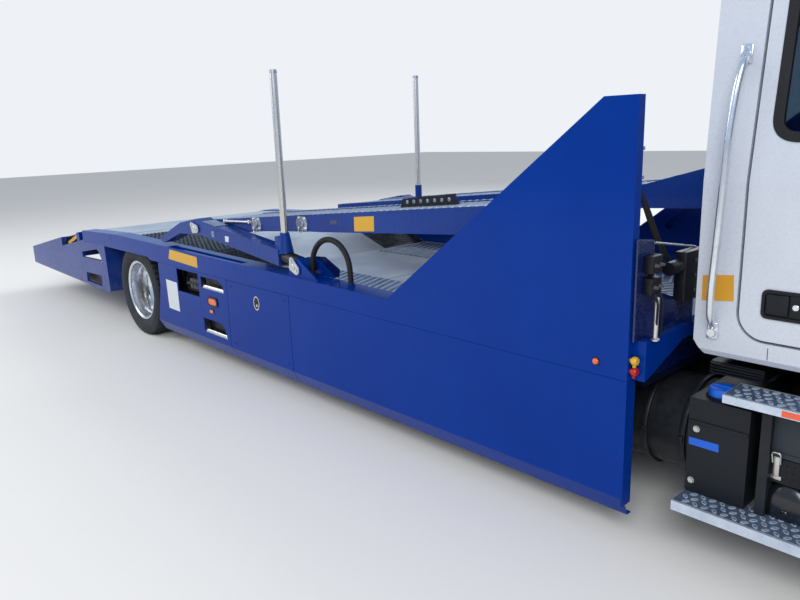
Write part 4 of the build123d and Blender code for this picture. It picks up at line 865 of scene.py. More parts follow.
@piece("pocket_lining", satinBlack)
def pocketLining(shape):
    for rear, front in ((pocket["rear"], pocket["bar"][0]), (pocket["bar"][1], pocket["front"])):
        plate(shape, underTop(rear, front, 103, 6, 2), 2, toRight(sideY - pocket["liningDepth"]))


@piece("pocket_hooks", satinBlack)
def pocketHooks(shape):
    for x in pocket["hooks"]:
        z = tailTop(x) - 60
        line(shape, ((x - 30, -1235, z - 30), (x, -1262, z - 32), (x + 20, -1262, z), (x, -1262, z + 30),
                     (x - 30, -1235, z + 30)), 20, 8)


# Lift arms: keeper plates over the pins, a bolt in its hole, the pivot's boot and the bright wear plate
keepers = (
    # name, body, distance right, distance ahead, height, turn
    ("armPin", "lift_arm_{}", 1258.5, 1355, 1204, 0),
    ("pivot", "truck", 1272.5, 2864, 1043, -28),
)
keeperOutline = ((72, -12, 16), (60, 26, 16), (-50, 52, 20), (-66, 36, 16), (-40, -46, 22), (52, -36, 18))
arm = {
    "y": -1185,
    "bolt": (1250, 1667, 1177),
    "crown": (1472, 1268),
    "foot": (2634, 1140),
    # ends of the pivot's boot, and its wide and narrow radius
    "boot": ((2628, 1079.5), (2816, 1049.4)),
    "sleeve": (53.5, 51.2),
    # side plate of the hose bracket
    "gusset": ((2930, 985, 10), (3150, 972, 10), (3165, 1030, 12), (3000, 1104, 20), (2905, 1100, 14),
               (2880, 1062, 14)),
    "gussetOut": 1092,
}

for name, body, out, x, z, turn in keepers:
    place = toRight(out, x, z) @ Matrix.Rotation(math.radians(turn), 4, "Z")

    @piece(f"keeper_{name}", whiteSteel, body, sides="each")
    def keeperPlate(shape):
        plate(shape, roundedLoop(keeperOutline), 7, place)

    @piece(f"keeper_bolts_{name}", stainless, body, sides="each")
    def keeperBolts(shape):
        bolt(shape, moved(place, 45, 0, 7), 11, 9)
        bolt(shape, moved(place, -40, 26, 7), 11, 9)
        lathe(shape, ((20, 4), (20, 12), (17, 14), (0, 14)), place, 24)


@piece("arm_sleeve", satinBlack, "lift_arm_{}")
def armSleeve(shape):
    start, end = (at(x, arm["y"], z) for x, z in arm["boot"])
    way = (end - start).normalized()
    wide, narrow = arm["sleeve"]
    pipe(shape, [start, start + way * 20, start + way * 22, end - way * 22, end - way * 20, end],
         [wide, wide, narrow, narrow, wide, wide], 32, False)


@piece("arm_bolt", zinc, "lift_arm_{}")
def armBolt(shape):
    lathe(shape, ((26, 0.3), (26, 3.5), (22, 4.5), (14, 4.5), (14, 1)), toRight(*arm["bolt"]), 28)
    bolt(shape, toRight(*arm["bolt"]), 11, 10)


@piece("arm_wear_plate", zinc, "lift_arm_{}")
def armWear(shape):
    # follows the arm's upper face, from its crown to the post's foot
    (x, z), (footX, footZ) = arm["crown"], arm["foot"]
    place = facing(at(x, arm["y"], z), (z - footZ, 0, footX - x), (footX - x, 0, footZ - z))
    box(shape, (10, -60, 0.3), (240, 60, 4.5), place, 1.5)


@piece("arm_gussets", darkBlue)
def armGussets(shape):
    plate(shape, roundedLoop(arm["gusset"]), 12, toRight(arm["gussetOut"]))


print("arms fitted")

# Posts: pressed caps on their tops
posts = (
    # body, distance ahead, distance left, height of the top
    ("lift_arm_right", 2640, -1185, 2400),
    ("skid_left", 1720, 1080, 2490),
)
postCap = ((26.2, -22), (27.2, -22), (27.4, -2), (25.6, 1.2), (10, 1.8), (0, 1.8))
for body, *top in posts:
    piece(f"post_cap_{body}", zinc, body, sides="right")(
        lambda shape: lathe(shape, postCap, toTop(*top), 40))

# Runways: bright chevron treads over the plates and the beams' upper faces
runway = {"rear": 1200, "kick": 4600, "front": 4990, "inner": 420, "outer": 1105, "beam": 60, "drop": 12,
          "pitch": 62, "rise": 0.09, "high": 1137, "kickHigh": 1660, "post": (1680, 1760)}
runwayMiddle = (runway["inner"] + runway["outer"]) / 2
innerBeam = (runway["inner"], runway["inner"] + runway["beam"])
outerBeam = (runway["outer"] - runway["beam"], runway["outer"])


def runwayTop(x):
    high = runway["high"] + runway["rise"] * x
    if x > runway["kick"]:
        kick = runway["high"] + runway["rise"] * runway["kick"]
        high = kick + (runway["kickHigh"] - kick) * (x - runway["kick"]) / (runway["front"] - runway["kick"])
    return high


def slab(shape, spots, topOf, low, high):
    # a thin piece over a sloping top, whose four spots are distance ahead and distance right
    corners = [shape.verts.new(at(x, -y, topOf(x) + lift)) for x, y in spots for lift in (low, high)]
    for face in ((0, 1, 3, 2), (4, 6, 7, 5), (0, 4, 5, 1), (2, 3, 7, 6), (1, 5, 7, 3), (0, 2, 6, 4)):
        shape.faces.new([corners[i] for i in face])


def sheet(shape, rear, front, inner, outer, topOf, low, high):
    slab(shape, [(x, y) for x in (rear, front) for y in (inner, outer)], topOf, low, high)


def slantBar(shape, x, lean, inner, outer, topOf, low, high, width):
    # a raised bar across a sheet, leaning ahead by lean at its outer end
    slab(shape, [(start + across, y) for y, start in ((inner, x), (outer, x + lean))
                 for across in (-width / 2, width / 2)], topOf, low, high)


@piece("runway_sheets", treadBase, "skid_{}", 0)
def runwaySheets(shape):
    for rear, front in ((runway["rear"] + 4, runway["kick"]), (runway["kick"], runway["front"] - 4)):
        sheet(shape, rear, front, innerBeam[1] + 1, outerBeam[0] - 1, runwayTop, 0.4 - runway["drop"],
              2 - runway["drop"])
        for near, far in (innerBeam, outerBeam):
            sheet(shape, rear, front, near + 2, far - 2, runwayTop, 0.4, 1.8)


@piece("runway_bars", treadSteel, "skid_{}", 0)
def runwayBars(shape):
    for i in range(int((runway["front"] - runway["rear"] - 160) / runway["pitch"])):
        x = runway["rear"] + 50 + runway["pitch"] * i
        for near, far in ((runwayMiddle - 4, innerBeam[1] + 12), (runwayMiddle + 4, outerBeam[0] - 12)):
            slantBar(shape, x + 50, -60, near, far, runwayTop, 2 - runway["drop"], 9 - runway["drop"], 16)
        for near, far in (innerBeam, outerBeam):
            # the post's foot takes the place of the bars there
            if near < runwayMiddle or not runway["post"][0] < x < runway["post"][1]:
                slantBar(shape, x, 22, near + 6, far - 6, runwayTop, 1.6, 5.5, 18)


chock = {"rear": 3387, "front": 3946, "y": 700, "thick": 8, "sheet": 1.5, "holes": 7, "pitch": 66}


@piece("chock_plates", satinBlack, "skid_{}", 0)
def chockPlates(shape):
    rear, front = chock["rear"], chock["front"]
    outline = ((rear, runwayTop(rear) - 9), (front, runwayTop(front) - 9),
               (front - 43, runwayTop(front) + 62.5), (rear + 24, runwayTop(rear) + 57.5))
    for out in (chock["y"] + chock["thick"], chock["y"] - chock["sheet"]):
        plate(shape, outline, chock["sheet"], toRight(out))


@piece("chock_studs", zinc, "skid_{}")
def chockStuds(shape):
    for i in range(chock["holes"]):
        x = chock["rear"] + 75 + chock["pitch"] * i
        lathe(shape, ((13.5, 0), (13.5, 2), (11.5, 3.2), (7, 3.2), (7, 1.2), (0, 1.2)),
              toRight(chock["y"] + chock["thick"] + chock["sheet"], x, runwayTop(x) + 30), 20)


pins = {
    "places": ((2130, 1283), (2760, 1330)),
    "outline": ((-60, -58, 14), (62, -52, 14), (70, 0, 18), (50, 48, 14), (-45, 50, 14), (-72, 6, 18)),
    "bolts": ((-45, -40), (47, -36), (38, 34), (-36, 36)),
}
pinPlaces = [toRight(runway["outer"], *spot) for spot in pins["places"]]


@piece("pin_plates", zinc, "skid_{}")
def pinPlates(shape):
    for place in pinPlaces:
        plate(shape, roundedLoop(pins["outline"]), 8, place)
        lathe(shape, ((30, 8), (30, 15), (26, 18), (12, 18), (12, 12), (0, 12)), place, 28)


@piece("pin_locks", stainless, "skid_{}")
def pinLocks(shape):
    for place in pinPlaces:
        for x, y in pins["bolts"]:
            bolt(shape, moved(place, x, y, 8), 9, 8)
        line(shape, ((-20, -30, 14), (-34, -60, 20), (4, -72, 22), (24, -44, 14)), 20, 3.5, 8, place)


rod = {"out": 1122, "radius": 11, "ends": ((1640, 1270), (2060, 1290)),
       "collars": ((1650, 1270.476), (2045, 1289.278))}


@piece("runway_rods", stainless, "skid_{}")
def runwayRods(shape):
    pipe(shape, [at(x, -rod["out"], z) for x, z in rod["ends"]], rod["radius"], 16)
    for spot in rod["collars"]:
        lathe(shape, ((16, -16), (16, 14), (12, 16), (0, 16)), toRight(rod["out"] - 2, *spot), 20)


print("runways fitted")

# Deck: smooth in the middle, chevron runways in the low part and a dark grating beside the arms
deck = {
    "line": ((-1390, 963), (-400, 998), (1300, 979.2), (1750, 820), (5485, 820)),
    "treads": (430, 1100),
    "sheet": (1800, 5400),
    "firstBar": 1910,
    "pitch": 70,
    "bars": 49,
    "lean": -130,
    "gratings": ((-200, 1297), (1303, 1747)),
    "gratingAcross": (560, 1110),
    "cell": (46, 41),
    "rows": 13,
    "joints": (-420, 560, 2900, 4100),
    "rubs": ((-1380, -410), (-390, 1290), (1310, 1740), (1760, 5470)),
}


def deckTop(x):
    for (x0, z0), (x1, z1) in zip(deck["line"], deck["line"][1:]):
        if x <= x1:
            return z0 + (z1 - z0) * (x - x0) / (x1 - x0)


@piece("deck_sheets", treadBase, smooth=0)
def deckSheets(shape):
    sheet(shape, *deck["sheet"], *deck["treads"], deckTop, 0.4, 1.6)


@piece("deck_bars", treadSteel, smooth=0)
def deckBars(shape):
    inner, outer = deck["treads"]
    middle = (inner + outer) / 2
    for i in range(deck["bars"]):
        for near, far in ((middle - 4, inner + 20), (middle + 4, outer - 20)):
            x = deck["firstBar"] + deck["pitch"] * i
            slantBar(shape, x, deck["lean"], near, far, deckTop, 1.4, 7, 17)


@piece("deck_grating", darkGrate, smooth=0)
def deckGrating(shape):
    long, wide = deck["cell"]
    for rear, front in deck["gratings"]:
        sheet(shape, rear, front, *deck["gratingAcross"], deckTop, 0.6, 3)
        for i in range(int((front - rear) / long)):
            for j in range(deck["rows"]):
                y = deck["gratingAcross"][0] + 24 + wide * j + 10 * (i % 2)
                slantBar(shape, rear + 24 + long * i, 8, y, y + 22, deckTop, 2.8, 9.5, 7)


@piece("deck_joints", zinc, smooth=0)
def deckJoints(shape):
    # welded edges between the deck's plates and a rub line along each beam
    for x in deck["joints"]:
        sheet(shape, x, x + 6, 0, 1120, deckTop, 0.5, 2.2)
    for rear, front in deck["rubs"]:
        sheet(shape, rear, front, 1118, 1126, deckTop, 0.5, 3)


tailBars = {"rear": -3380, "count": 28, "pitch": 70, "lean": 30, "drop": 12,
            "across": ((470, 620), (660, 810), (850, 1000))}


@piece("tail_tread", zinc, smooth=0)
def tailTread(shape):
    # cross bars over the sloping rear deck, where cars drive up
    for i in range(tailBars["count"]):
        for near, far in tailBars["across"]:
            lean = tailBars["lean"] * (1 if i % 2 else -1)
            slantBar(shape, tailBars["rear"] + tailBars["pitch"] * i, lean, near, far,
                     lambda x: tailTop(x) - tailBars["drop"], 0.4, 5, 12)


print("decks fitted")

# Cab: handles, latches, seals, mirrors, the guard below it and wipers
cab = {
    "half": 1050,
    "belt": 1700,
    "lean": math.atan2(65, 890),
    "latch": (6020, 1216),
    "latchSize": (172, 122),
    "window": ((5935, 1890, 70), (6655, 1835, 40), (6435, 2465, 60), (5950, 2475, 70)),
    "grab": ((5787, -1012, 2196), (5792, -1060, 2170), (5788, -1094, 2085), (5776, -1110, 1912),
             (5759, -1110, 1469), (5749, -1110, 1240), (5747, -1098, 1130), (5746, -1050, 1078)),
    "grabFeet": (((5786, -1013, 2202), (0, -1, 0.073)), ((5745, -1050, 1066), (0, -1, 0))),
    "sillSeam": (5972, 5975, 978, 1030),
}
latchPlace = toRight(cab["half"], *cab["latch"])


@piece("grab_bars", polished)
def grabBars(shape):
    line(shape, cab["grab"], 80, 15.5, 20)


@piece("grab_feet", polished)
def grabFeet(shape):
    for spot, outward in cab["grabFeet"]:
        place = facing(at(*spot), outward)
        box(shape, (-24, -37, 0), (24, 37, 12), place, 5)
        bolt(shape, moved(place, 0, 22, 12), 6, 5)
        lathe(shape, ((21, 10), (20, 20), (17, 26), (0, 26)), moved(place, 0, -8), 24)


@piece("latch_bezel", satinBlack, "cab_door_{}")
def latchBezel(shape):
    width, height = cab["latchSize"]
    frameRing(shape, roundRect(width, height, 24), roundRect(width - 26, height - 26, 15), 7, latchPlace)
    plate(shape, roundRect(width - 24, height - 24, 16), 1.2, latchPlace)


@piece("latch_paddle", trimBlack, "cab_door_{}")
def latchPaddle(shape):
    box(shape, (-71, -44, 1.2), (18, 44, 5.5), latchPlace, 6)
    box(shape, (20, -46, 1.2), (72, 46, 3.5), latchPlace, 3)


@piece("latch_key", polished, "cab_door_{}")
def latchKey(shape):
    place = moved(latchPlace, 44, 0)
    lathe(shape, ((12.5, 3), (12.5, 6), (10.5, 7.5), (0, 7.5)), place, 28)
    box(shape, (-1.2, -6, 7.5), (1.2, 6, 7.7), place)


@piece("window_seal", rubber, "cab_door_{}")
def windowSeal(shape):
    rise = math.cos(cab["lean"])
    place = facing(at(0, -cab["half"], cab["belt"]), (0, -rise, math.sin(cab["lean"])))
    loop = roundedLoop([(x, (z - cab["belt"]) / rise, radius) for x, z, radius in cab["window"]], 8)
    frameRing(shape, offsetLoop(loop, 26), offsetLoop(loop, -14), 7.5, place, -3.5)
    frameRing(shape, offsetLoop(loop, 2), offsetLoop(loop, -12), 20, place, -22)


mirrorPlate = {"place": (6605, -1255, 1885), "width": 210, "height": 490, "armX": 6650,
               "arms": ((0, 1730), (4, 1830))}
mirrorFace = toRear(*mirrorPlate["place"])


@piece("mirror_frame", satinBlack, "cab_door_{}")
def mirrorFrame(shape):
    width, height = mirrorPlate["width"], mirrorPlate["height"]
    outer, inner = roundRect(width - 2, height - 2, 44), roundRect(width - 26, height - 26, 34)
    frameRing(shape, outer, inner, 6, mirrorFace)


@piece("mirror_sheet", mirrorPane, "cab_door_{}")
def mirrorSheet(shape):
    # share of the height, corner radius and share of the height from the middle of each pane
    for share, radius, rise in ((0.66, 32, 0.125), (0.2, 26, -0.345)):
        width, height = mirrorPlate["width"] - 26, mirrorPlate["height"]
        plate(shape, roundRect(width, height * share, radius, centre=(0, height * rise)), 3, mirrorFace)


@piece("mirror_boots", rubber, "cab_door_{}")
def mirrorBoots(shape):
    for inset, z in mirrorPlate["arms"]:
        lathe(shape, ((14.5, 30), (20, 28), (24, 12), (26, 2), (26, 0)),
              toRight(cab["half"] - inset, mirrorPlate["armX"], z), 24)


@piece("cab_seams", satinBlack, smooth=0)
def cabSeams(shape):
    # seam in the sill below the door
    rear, front, low, high = cab["sillSeam"]
    plate(shape, ((rear, low), (front, low), (front, high), (rear, high)), 0.4, toRight(cab["half"]))


guard = {"rear": 5700, "front": 5935, "low": 835, "high": 895, "out": 770, "deep": 180, "ribPitch": 14}


@piece("ribbed_guard", trimBlack, sides="right")
def ribbedGuard(shape):
    place = toRight(guard["out"])
    box(shape, (guard["rear"], guard["low"], 0), (guard["front"], guard["high"], guard["deep"]), place, 6)
    for low in range(guard["low"] + 5, guard["high"] + 1, guard["ribPitch"]):
        box(shape, (guard["rear"] + 4, low, guard["deep"] - 4),
            (guard["front"] - 4, low + 7, guard["deep"] + 10), place, 1.5)


wiper = {"across": (-780, -60), "foot": (6860, 1780), "slope": (820, 0, 300)}


@piece("screen_wipers", satinBlack, sides="right")
def screenWipers(shape):
    # arms and blades over the lower windscreen, parked flat
    for y in wiper["across"]:
        place = facing(at(wiper["foot"][0], y, wiper["foot"][1]), wiper["slope"], (0, 1, 0))
        lathe(shape, ((20, -4), (20, 12), (14, 22), (0, 24)), moved(place, 0, 35), 20)
        pipe(shape, [place @ Vector(spot) for spot in ((0, 35, 18), (160, 75, 30), (340, 110, 24))], 6, 8)
        box(shape, (60, 104, 4), (620, 116, 20), place, 3)


print("cab fitted")

# Steps with raised drain holes, over the plain treads
steps = (
    # distance ahead from and to, distance right from and to, height of the tread, depth of its lip
    (5700, 6700, 1070, 1250, 315, 45),
    (5860, 6700, 1000, 1180, 835, 35),
)
stepHole = {"pitch": 42, "rows": 4, "turn": 40, "outer": (34, 18, 12), "inner": (22, 8, 12)}


def stepPattern():
    # face, turn and centre of each raised hole, in rows that alternate
    for rear, front, inner, outer, high, lip in steps:
        for row in range(stepHole["rows"]):
            y = inner + 28 + row * (outer - inner - 58) / (stepHole["rows"] - 1)
            for i in range(int((front - rear - 50) / stepHole["pitch"])):
                x = rear + 30 + stepHole["pitch"] * (i + row % 2 / 2)
                yield toTop(0, 0, high + 1.6), stepHole["turn"] * (1 if (i + row) % 2 else -1), (x, -y)


@piece("step_covers", stepMetal, smooth=0)
def stepCovers(shape):
    for rear, front, inner, outer, high, lip in steps:
        face = toTop(0, 0, high)
        for low, top in ((-outer - 1.2, 9 - outer), (-inner - 7, -inner)):
            box(shape, (rear, low, 0.2), (front, top, 2), face)
        box(shape, (rear, -outer - 1.2, -lip), (front, -outer - 0.2, 1.8), face)
        for end in (rear - 1.2, front):
            box(shape, (end, -outer - 1.2, -lip), (end + 1.2, -inner, 1.8), face)


@piece("step_tops", treadBase, smooth=0)
def stepTops(shape):
    for rear, front, inner, outer, high, lip in steps:
        box(shape, (rear, 9 - outer, 0.2), (front, -inner - 7, 1.6), toTop(0, 0, high))


@piece("step_rims", stepMetal)
def stepRims(shape):
    for face, turn, centre in stepPattern():
        outer, inner = (oval(*stepHole[key], turn, centre) for key in ("outer", "inner"))
        frameRing(shape, outer, inner, 2.8, face)


@piece("step_drains", satinBlack, smooth=0)
def stepDrains(shape):
    for face, turn, centre in stepPattern():
        plate(shape, oval(*stepHole["inner"], turn, centre), 0.6, face)


# Fluid tank: bright cap, moulded shoulder and bolts
fluid = {"cap": (5800, -1040, 770), "y": 1130, "bolts": ((5738, 628), (5728, 379))}


@piece("filler_cap", capBlue, sides="right")
def fillerCap(shape):
    profile = ((0, 46.5), (30, 46.5), (50, 45.5), (54.5, 41), (56, 30), (56, 10), (53.5, 8), (52.5, 1))
    lathe(shape, profile, toTop(*fluid["cap"]), 48, lambda row, i: 1.4 if row in (4, 5) and i % 2 else 0)
    box(shape, (-40, -6, 46), (40, 6, 52), toTop(*fluid["cap"]), 3)


@piece("fluid_bolts", stainless, sides="right")
def fluidBolts(shape):
    for spot in fluid["bolts"]:
        bolt(shape, toRight(fluid["y"], *spot), 12, 10)


@piece("fluid_shell", trimBlack, sides="right")
def fluidShell(shape):
    # a moulded shoulder and the ring under the cap
    box(shape, (5702, 652, 0), (5958, 668, 6), toRight(fluid["y"]), 2)
    lathe(shape, ((64, 0), (64, 6), (58.5, 9), (58.5, 0)), toTop(*fluid["cap"]), 36)


# Battery box: grey cover with its latch, perforated strip below, and the small air tanks' ends
battery = {"rear": 5992, "front": 6698, "y": 1080, "cover": (678, 176), "latch": 6062, "strip": (476, 580),
           "rows": 3, "holes": 26, "holePitch": (26.2, 28), "tanks": (6115, 6375),
           "tankOut": 1075, "tankZ": 355}
batteryFace = toRight(battery["y"])


@piece("battery_cover", coverGrey, sides="right")
def batteryCover(shape):
    high, height = battery["cover"]
    middle = ((battery["rear"] + battery["front"]) / 2, high)
    width = battery["front"] - battery["rear"] - 12
    outline = roundRect(width, height, 12, centre=middle)
    plate(shape, outline, 9, batteryFace)
    frameRing(shape, outline, roundRect(width - 40, height - 40, 8, centre=middle), 13, batteryFace)
    box(shape, (-200, -6, 9), (200, 6, 14), moved(batteryFace, *middle), 3)


@piece("battery_strip", satinBlack, sides="right")
def batteryStrip(shape):
    low, high = battery["strip"]
    across, up = battery["holePitch"]
    box(shape, (battery["rear"] + 4, low, 0), (battery["front"] - 4, high, 4), batteryFace)
    for row in range(battery["rows"]):
        for i in range(battery["holes"]):
            lathe(shape, ((7, 4), (6.6, 5.6), (4, 5.6), (4, 4.2), (0, 4.2)),
                  moved(batteryFace, battery["rear"] + 30 + across * i, low + 24 + up * row), 10)


@piece("battery_latch", stainless, sides="right")
def batteryLatch(shape):
    place = toRight(battery["y"] + 4, battery["latch"])
    box(shape, (-13, 500, 0), (13, 590, 10), place, 4)
    line(shape, ((-16, 560, 8), (-18, 612, 22), (18, 612, 22), (16, 560, 8)), 14, 3.5, 8, place)
    box(shape, (-22, 486, 0), (22, 504, 6), place, 2)


@piece("small_tank_ends", glossBlack, sides="right")
def smallTankEnds(shape):
    for x in battery["tanks"]:
        place = toRight(battery["tankOut"], x, battery["tankZ"])
        profile = ((112.5, -10), (112.5, -2), (106, 8), (80, 20), (40, 27), (14, 29), (14, 36), (10, 40),
                   (0, 40))
        lathe(shape, profile, place, 48)
        for back in (60, 300):
            lathe(shape, ((112.5, 0), (115.5, 0), (115.5, -30), (112.5, -30)), moved(place, 0, 0, -back), 48)


# Fuel tank and exhaust drum: bands, with their tie bolts, and the filler on the tank's shoulder
fuel = {"middle": (850, 600), "bands": (5915, 6520), "ends": ((5762, 6), (6698, 2)), "filler": 5830}
drum = {"middle": (-760, 500), "bands": (4990, 5200, 5410, 5600), "ribs": 14, "firstRib": 5035,
        "ribPitch": 12.5}


@piece("tank_straps", stainless, sides="right")
def tankStraps(shape):
    for x in fuel["bands"]:
        lathe(shape, ((285.2, 0), (288, 1), (288, 49), (285.2, 50)), toFront(x, *fuel["middle"]), 64)
        box(shape, (270, -20, 6), (300, 20, 44), toFront(x, *fuel["middle"]), 4)
    for x, rise in fuel["ends"]:
        lathe(shape, ((270, -4), (285.5, -4), (285.5, rise), (270, 2)), toFront(x, *fuel["middle"]), 64)
    shoulder = Vector((0, 0.70, 0.714)).normalized()
    place = facing(at(fuel["filler"], *fuel["middle"]) + shoulder * 284, shoulder)
    lathe(shape, ((52, -4), (52, 14), (48, 18), (48, 40), (44, 44), (0, 44)), place)
    box(shape, (-40, -6, 43), (40, 6, 54), place, 3)


def drumPlace(x):
    return facing(at(x, *drum["middle"]), (1, 0, 0), (0, -1, 0))


@piece("drum_bands", chassisBlack, sides="right")
def drumBands(shape):
    for x in drum["bands"]:
        lathe(shape, ((250.2, 2), (252.5, 6), (252.5, 24), (250.2, 28)), drumPlace(x), 64)
        box(shape, (246, -16, 4), (262, 16, 26), drumPlace(x), 3)
    for i in range(drum["ribs"]):
        lathe(shape, ((235, 0), (239, 2), (239, 5), (235, 7)),
              drumPlace(drum["firstRib"] + drum["ribPitch"] * i), 48)


print("steps and tanks fitted")

# Between the fin and the cab: valves, their lines and the trailer couplings
head = {
    "panel": ((-1290, 1016), (-744, 1016), (-744, 1150), (-960, 1165), (-1060, 1200), (-1135, 1215),
              (-1150, 1452), (-1290, 1470)),
    "shadePlate": ((-1128, 802), (0, 802), (0, 966), (-900, 966), (-1128, 882)),
    "smallFittings": ((-1222, 1258), (-1178, 1258), (-1222, 1354), (-1178, 1354)),
    "largeFittings": (1190, 1260, 1330),
    "clips": (1840, 1720),
    "tube": ((5560, -1204, 1022), (5560, -1202, 1214)),
    "thinTube": ((5530, -1189, 1447), (5530, -806, 1381)),
    "canister": (5535, -1068, 1312),
    "couplings": (5486, -1272),
    # how far ahead each face is
    "plateFace": 5500,
    "shadePlateFace": 5486.2,
    "valveFace": 5508,
}


@piece("head_tubes", stainless)
def headTubes(shape):
    pipe(shape, [at(*spot) for spot in head["tube"]], 11, 16)
    lathe(shape, ((20, 0), (20, 6), (13, 12), (12, 12)), toTop(5560, -1204, 1018), 20)
    pipe(shape, [at(*spot) for spot in head["thinTube"]], 5, 10)


@piece("head_panels", darkBlue, smooth=0)
def headPanels(shape):
    # bracket plate that stands on the cross member and carries the valves, in dark blue as painted shade
    # between the fin and the cab
    place = toFront(head["plateFace"])
    plate(shape, head["panel"], 8, place)
    for y in (-1190, -830):
        box(shape, (y - 6, 1012, 8), (y + 6, 1140, 45), place)


@piece("head_shade_plate", darkBlue, smooth=0)
def headShadePlate(shape):
    # dark blue plate across the deck's front edge, inside the cross member's arch: painted shade between the
    # fin and the cab
    plate(shape, head["shadePlate"], 4, toFront(head["shadePlateFace"]))


@piece("head_valves", satinBlack)
def headValves(shape):
    place = toFront(head["valveFace"])
    for low, high in ((1222, 1298), (1316, 1396)):
        box(shape, (-1240, low, 0), (-1152, high, 46), place, 8)
    box(shape, (-962, 1146, 0), (-776, 1378, 60), place, 10)
    lathe(shape, ((0, 0), (30, 0), (32, 4), (32, 100), (28, 108), (0, 108)),
          facing(at(*head["canister"]), (0, 1, 0)), 24)


@piece("head_fittings", castGrey)
def headFittings(shape):
    for spot in head["smallFittings"]:
        lathe(shape, ((9, 0), (9, 10), (6, 12), (6, 20), (0, 20)),
              toFront(head["valveFace"] + 46, *spot), 16)
    for z in head["largeFittings"]:
        lathe(shape, ((10, 0), (10, 8), (7, 10), (0, 10)), toFront(head["valveFace"] + 60, -870, z), 16)


@piece("head_lines", rubber)
def headLines(shape):
    # lines clipped along the fin's inner face, then down to the valves
    for shift in (0, 17, 34):
        line(shape, ((5455, -1234, 1900 - shift), (5462, -1232, 1700), (5470, shift - 1180, 1585),
                     (5480, shift - 1092, 1440), (5490, shift - 1018, 1350),
                     (5500, shift - 936, 1290 - shift), (5520, shift - 800, 1235 - shift)), 100, 6.5, 10)
    for y, low in ((-1222, 1110), (-1178, 1092)):
        line(shape, ((5560, y, 1226), (5574, y, 1190), (5568, y + 10, low), (5552, y + 30, 1022)),
             40, 5.5, 10)


@piece("head_clips", zinc)
def headClips(shape):
    for z in head["clips"]:
        box(shape, (5430, -1243.5, z), (5484, -1224, z + 16), axlePlace, 2)


for name, z, finish in (("supply", 876, redPaint), ("service", 926, yellowSheet)):
    @piece(f"{name}_coupling", finish, sides="right")
    def coupling(shape):
        place = toFront(*head["couplings"], z)
        lathe(shape, ((10, 0), (10, 8), (18, 10), (20, 14), (20, 28), (16, 34), (8, 34), (7, 28), (0, 28)),
              place, 28)
        box(shape, (-7, -30, 12), (7, -14, 26), place, 2)

print("head fitted")

# Front: lamp bowls behind the lenses, mesh behind the grille's bars and fog lamp dishes
front = {
    "bowls": ((8223, -712, 925), (8191, -872, 925)),
    "fog": (-720, 575),
    "grilleZ": 1100,
    # number and distance of the bars across the mesh, its wires, the core's fins and the bumper's slats
    "bars": (8, 55),
    "wires": (19, 19.5),
    "fins": (31, 15.8),
    "slats": (6, 22.5),
    # how far ahead each face is
    "mesh": 8284,
    "core": 8272,
    "rim": 8308,
    "housing": 8170,
    "turn": 8175,
    "bumper": 8338,
}


@piece("lamp_bowls", polished, "hood")
def lampBowls(shape):
    for spot in front["bowls"]:
        profile = ((0, -30), (20, -26), (42, -10), (56, 14), (61, 16), (61, 10), (46, -16), (22, -34),
                   (0, -38))
        lathe(shape, profile, toFront(*spot), 40)


@piece("lamp_bulbs", whiteSheet, "hood")
def lampBulbs(shape):
    for spot in front["bowls"]:
        lathe(shape, ((20, -26), (24, -4), (22, 6), (12, 13), (0, 15)), toFront(*spot), 28)


@piece("lamp_housings", satinBlack, "hood")
def lampHousings(shape):
    place = toFront(front["housing"])
    plate(shape, roundRect(380, 146, 12, centre=(-812, 925)), 6, place)
    box(shape, (-800, 856, 6), (-786, 994, 60), place, 3)


@piece("turn_lamps", amber, "hood")
def turnLamps(shape):
    box(shape, (-995, 870, 0), (-940, 980, 22), toFront(front["turn"]), 6)


@piece("grille_core", satinBlack, "hood", 0)
def grilleCore(shape):
    count, pitch = front["fins"]
    box(shape, (-380, 852, 0), (0, 1348, 3), toFront(front["core"]))
    for i in range(count):
        box(shape, (-376, 860 + pitch * i, 3), (0, 864 + pitch * i, 8), toFront(front["core"]))


@piece("bumper_backs", satinBlack, smooth=0)
def bumperBacks(shape):
    # dark liners behind the bumper's openings
    place = toFront(front["bumper"])
    count, pitch = front["slats"]
    plate(shape, roundRect(212, 122, 50, centre=front["fog"]), 4, place)
    box(shape, (-285, 505, 0), (0, 645, 4), place)
    for i in range(count):
        box(shape, (-278, 512 + pitch * i, 4), (0, 518 + pitch * i, 12), place)


@piece("fog_lamps", polished)
def fogLamps(shape):
    lathe(shape, ((48, 0), (48, 10), (44, 12), (40, 6), (20, 1), (0, 0)),
          toFront(front["bumper"] + 4, *front["fog"]), 36)


@piece("grille_mesh", satinBlack, "hood", 0)
def grilleMesh(shape):
    place = toFront(front["mesh"])
    (wires, across), (bars, up) = front["wires"], front["bars"]
    for i in range(wires):
        box(shape, (-20 - across * i, 872, 0), (-16 - across * i, 1328, 3), place)
    for i in range(bars):
        box(shape, (-368, 934.5 + up * i, 0), (0, 938.5 + up * i, 3), place)


@piece("grille_rim", stainless, "hood", sides="right")
def grilleRim(shape):
    outer, inner = (roundRect(*size, centre=(0, front["grilleZ"]))
                    for size in ((798, 518, 30), (752, 472, 22)))
    frameRing(shape, outer, inner, 6.5, toFront(front["rim"]))


print("front fitted")

# Interior: padded seats with sewn channels, dashboard, column and steering wheel
seats = {"rear": 5900, "back": 6020, "front": 6400, "inner": 270, "outer": 790, "cushion": (1270, 1400),
         "backTop": 1990, "cells": 26, "channels": (-0.45, 0, 0.45), "crown": 0.30, "fill": 0.75,
         "stand": (6150, -530, 1002), "bellows": 7}


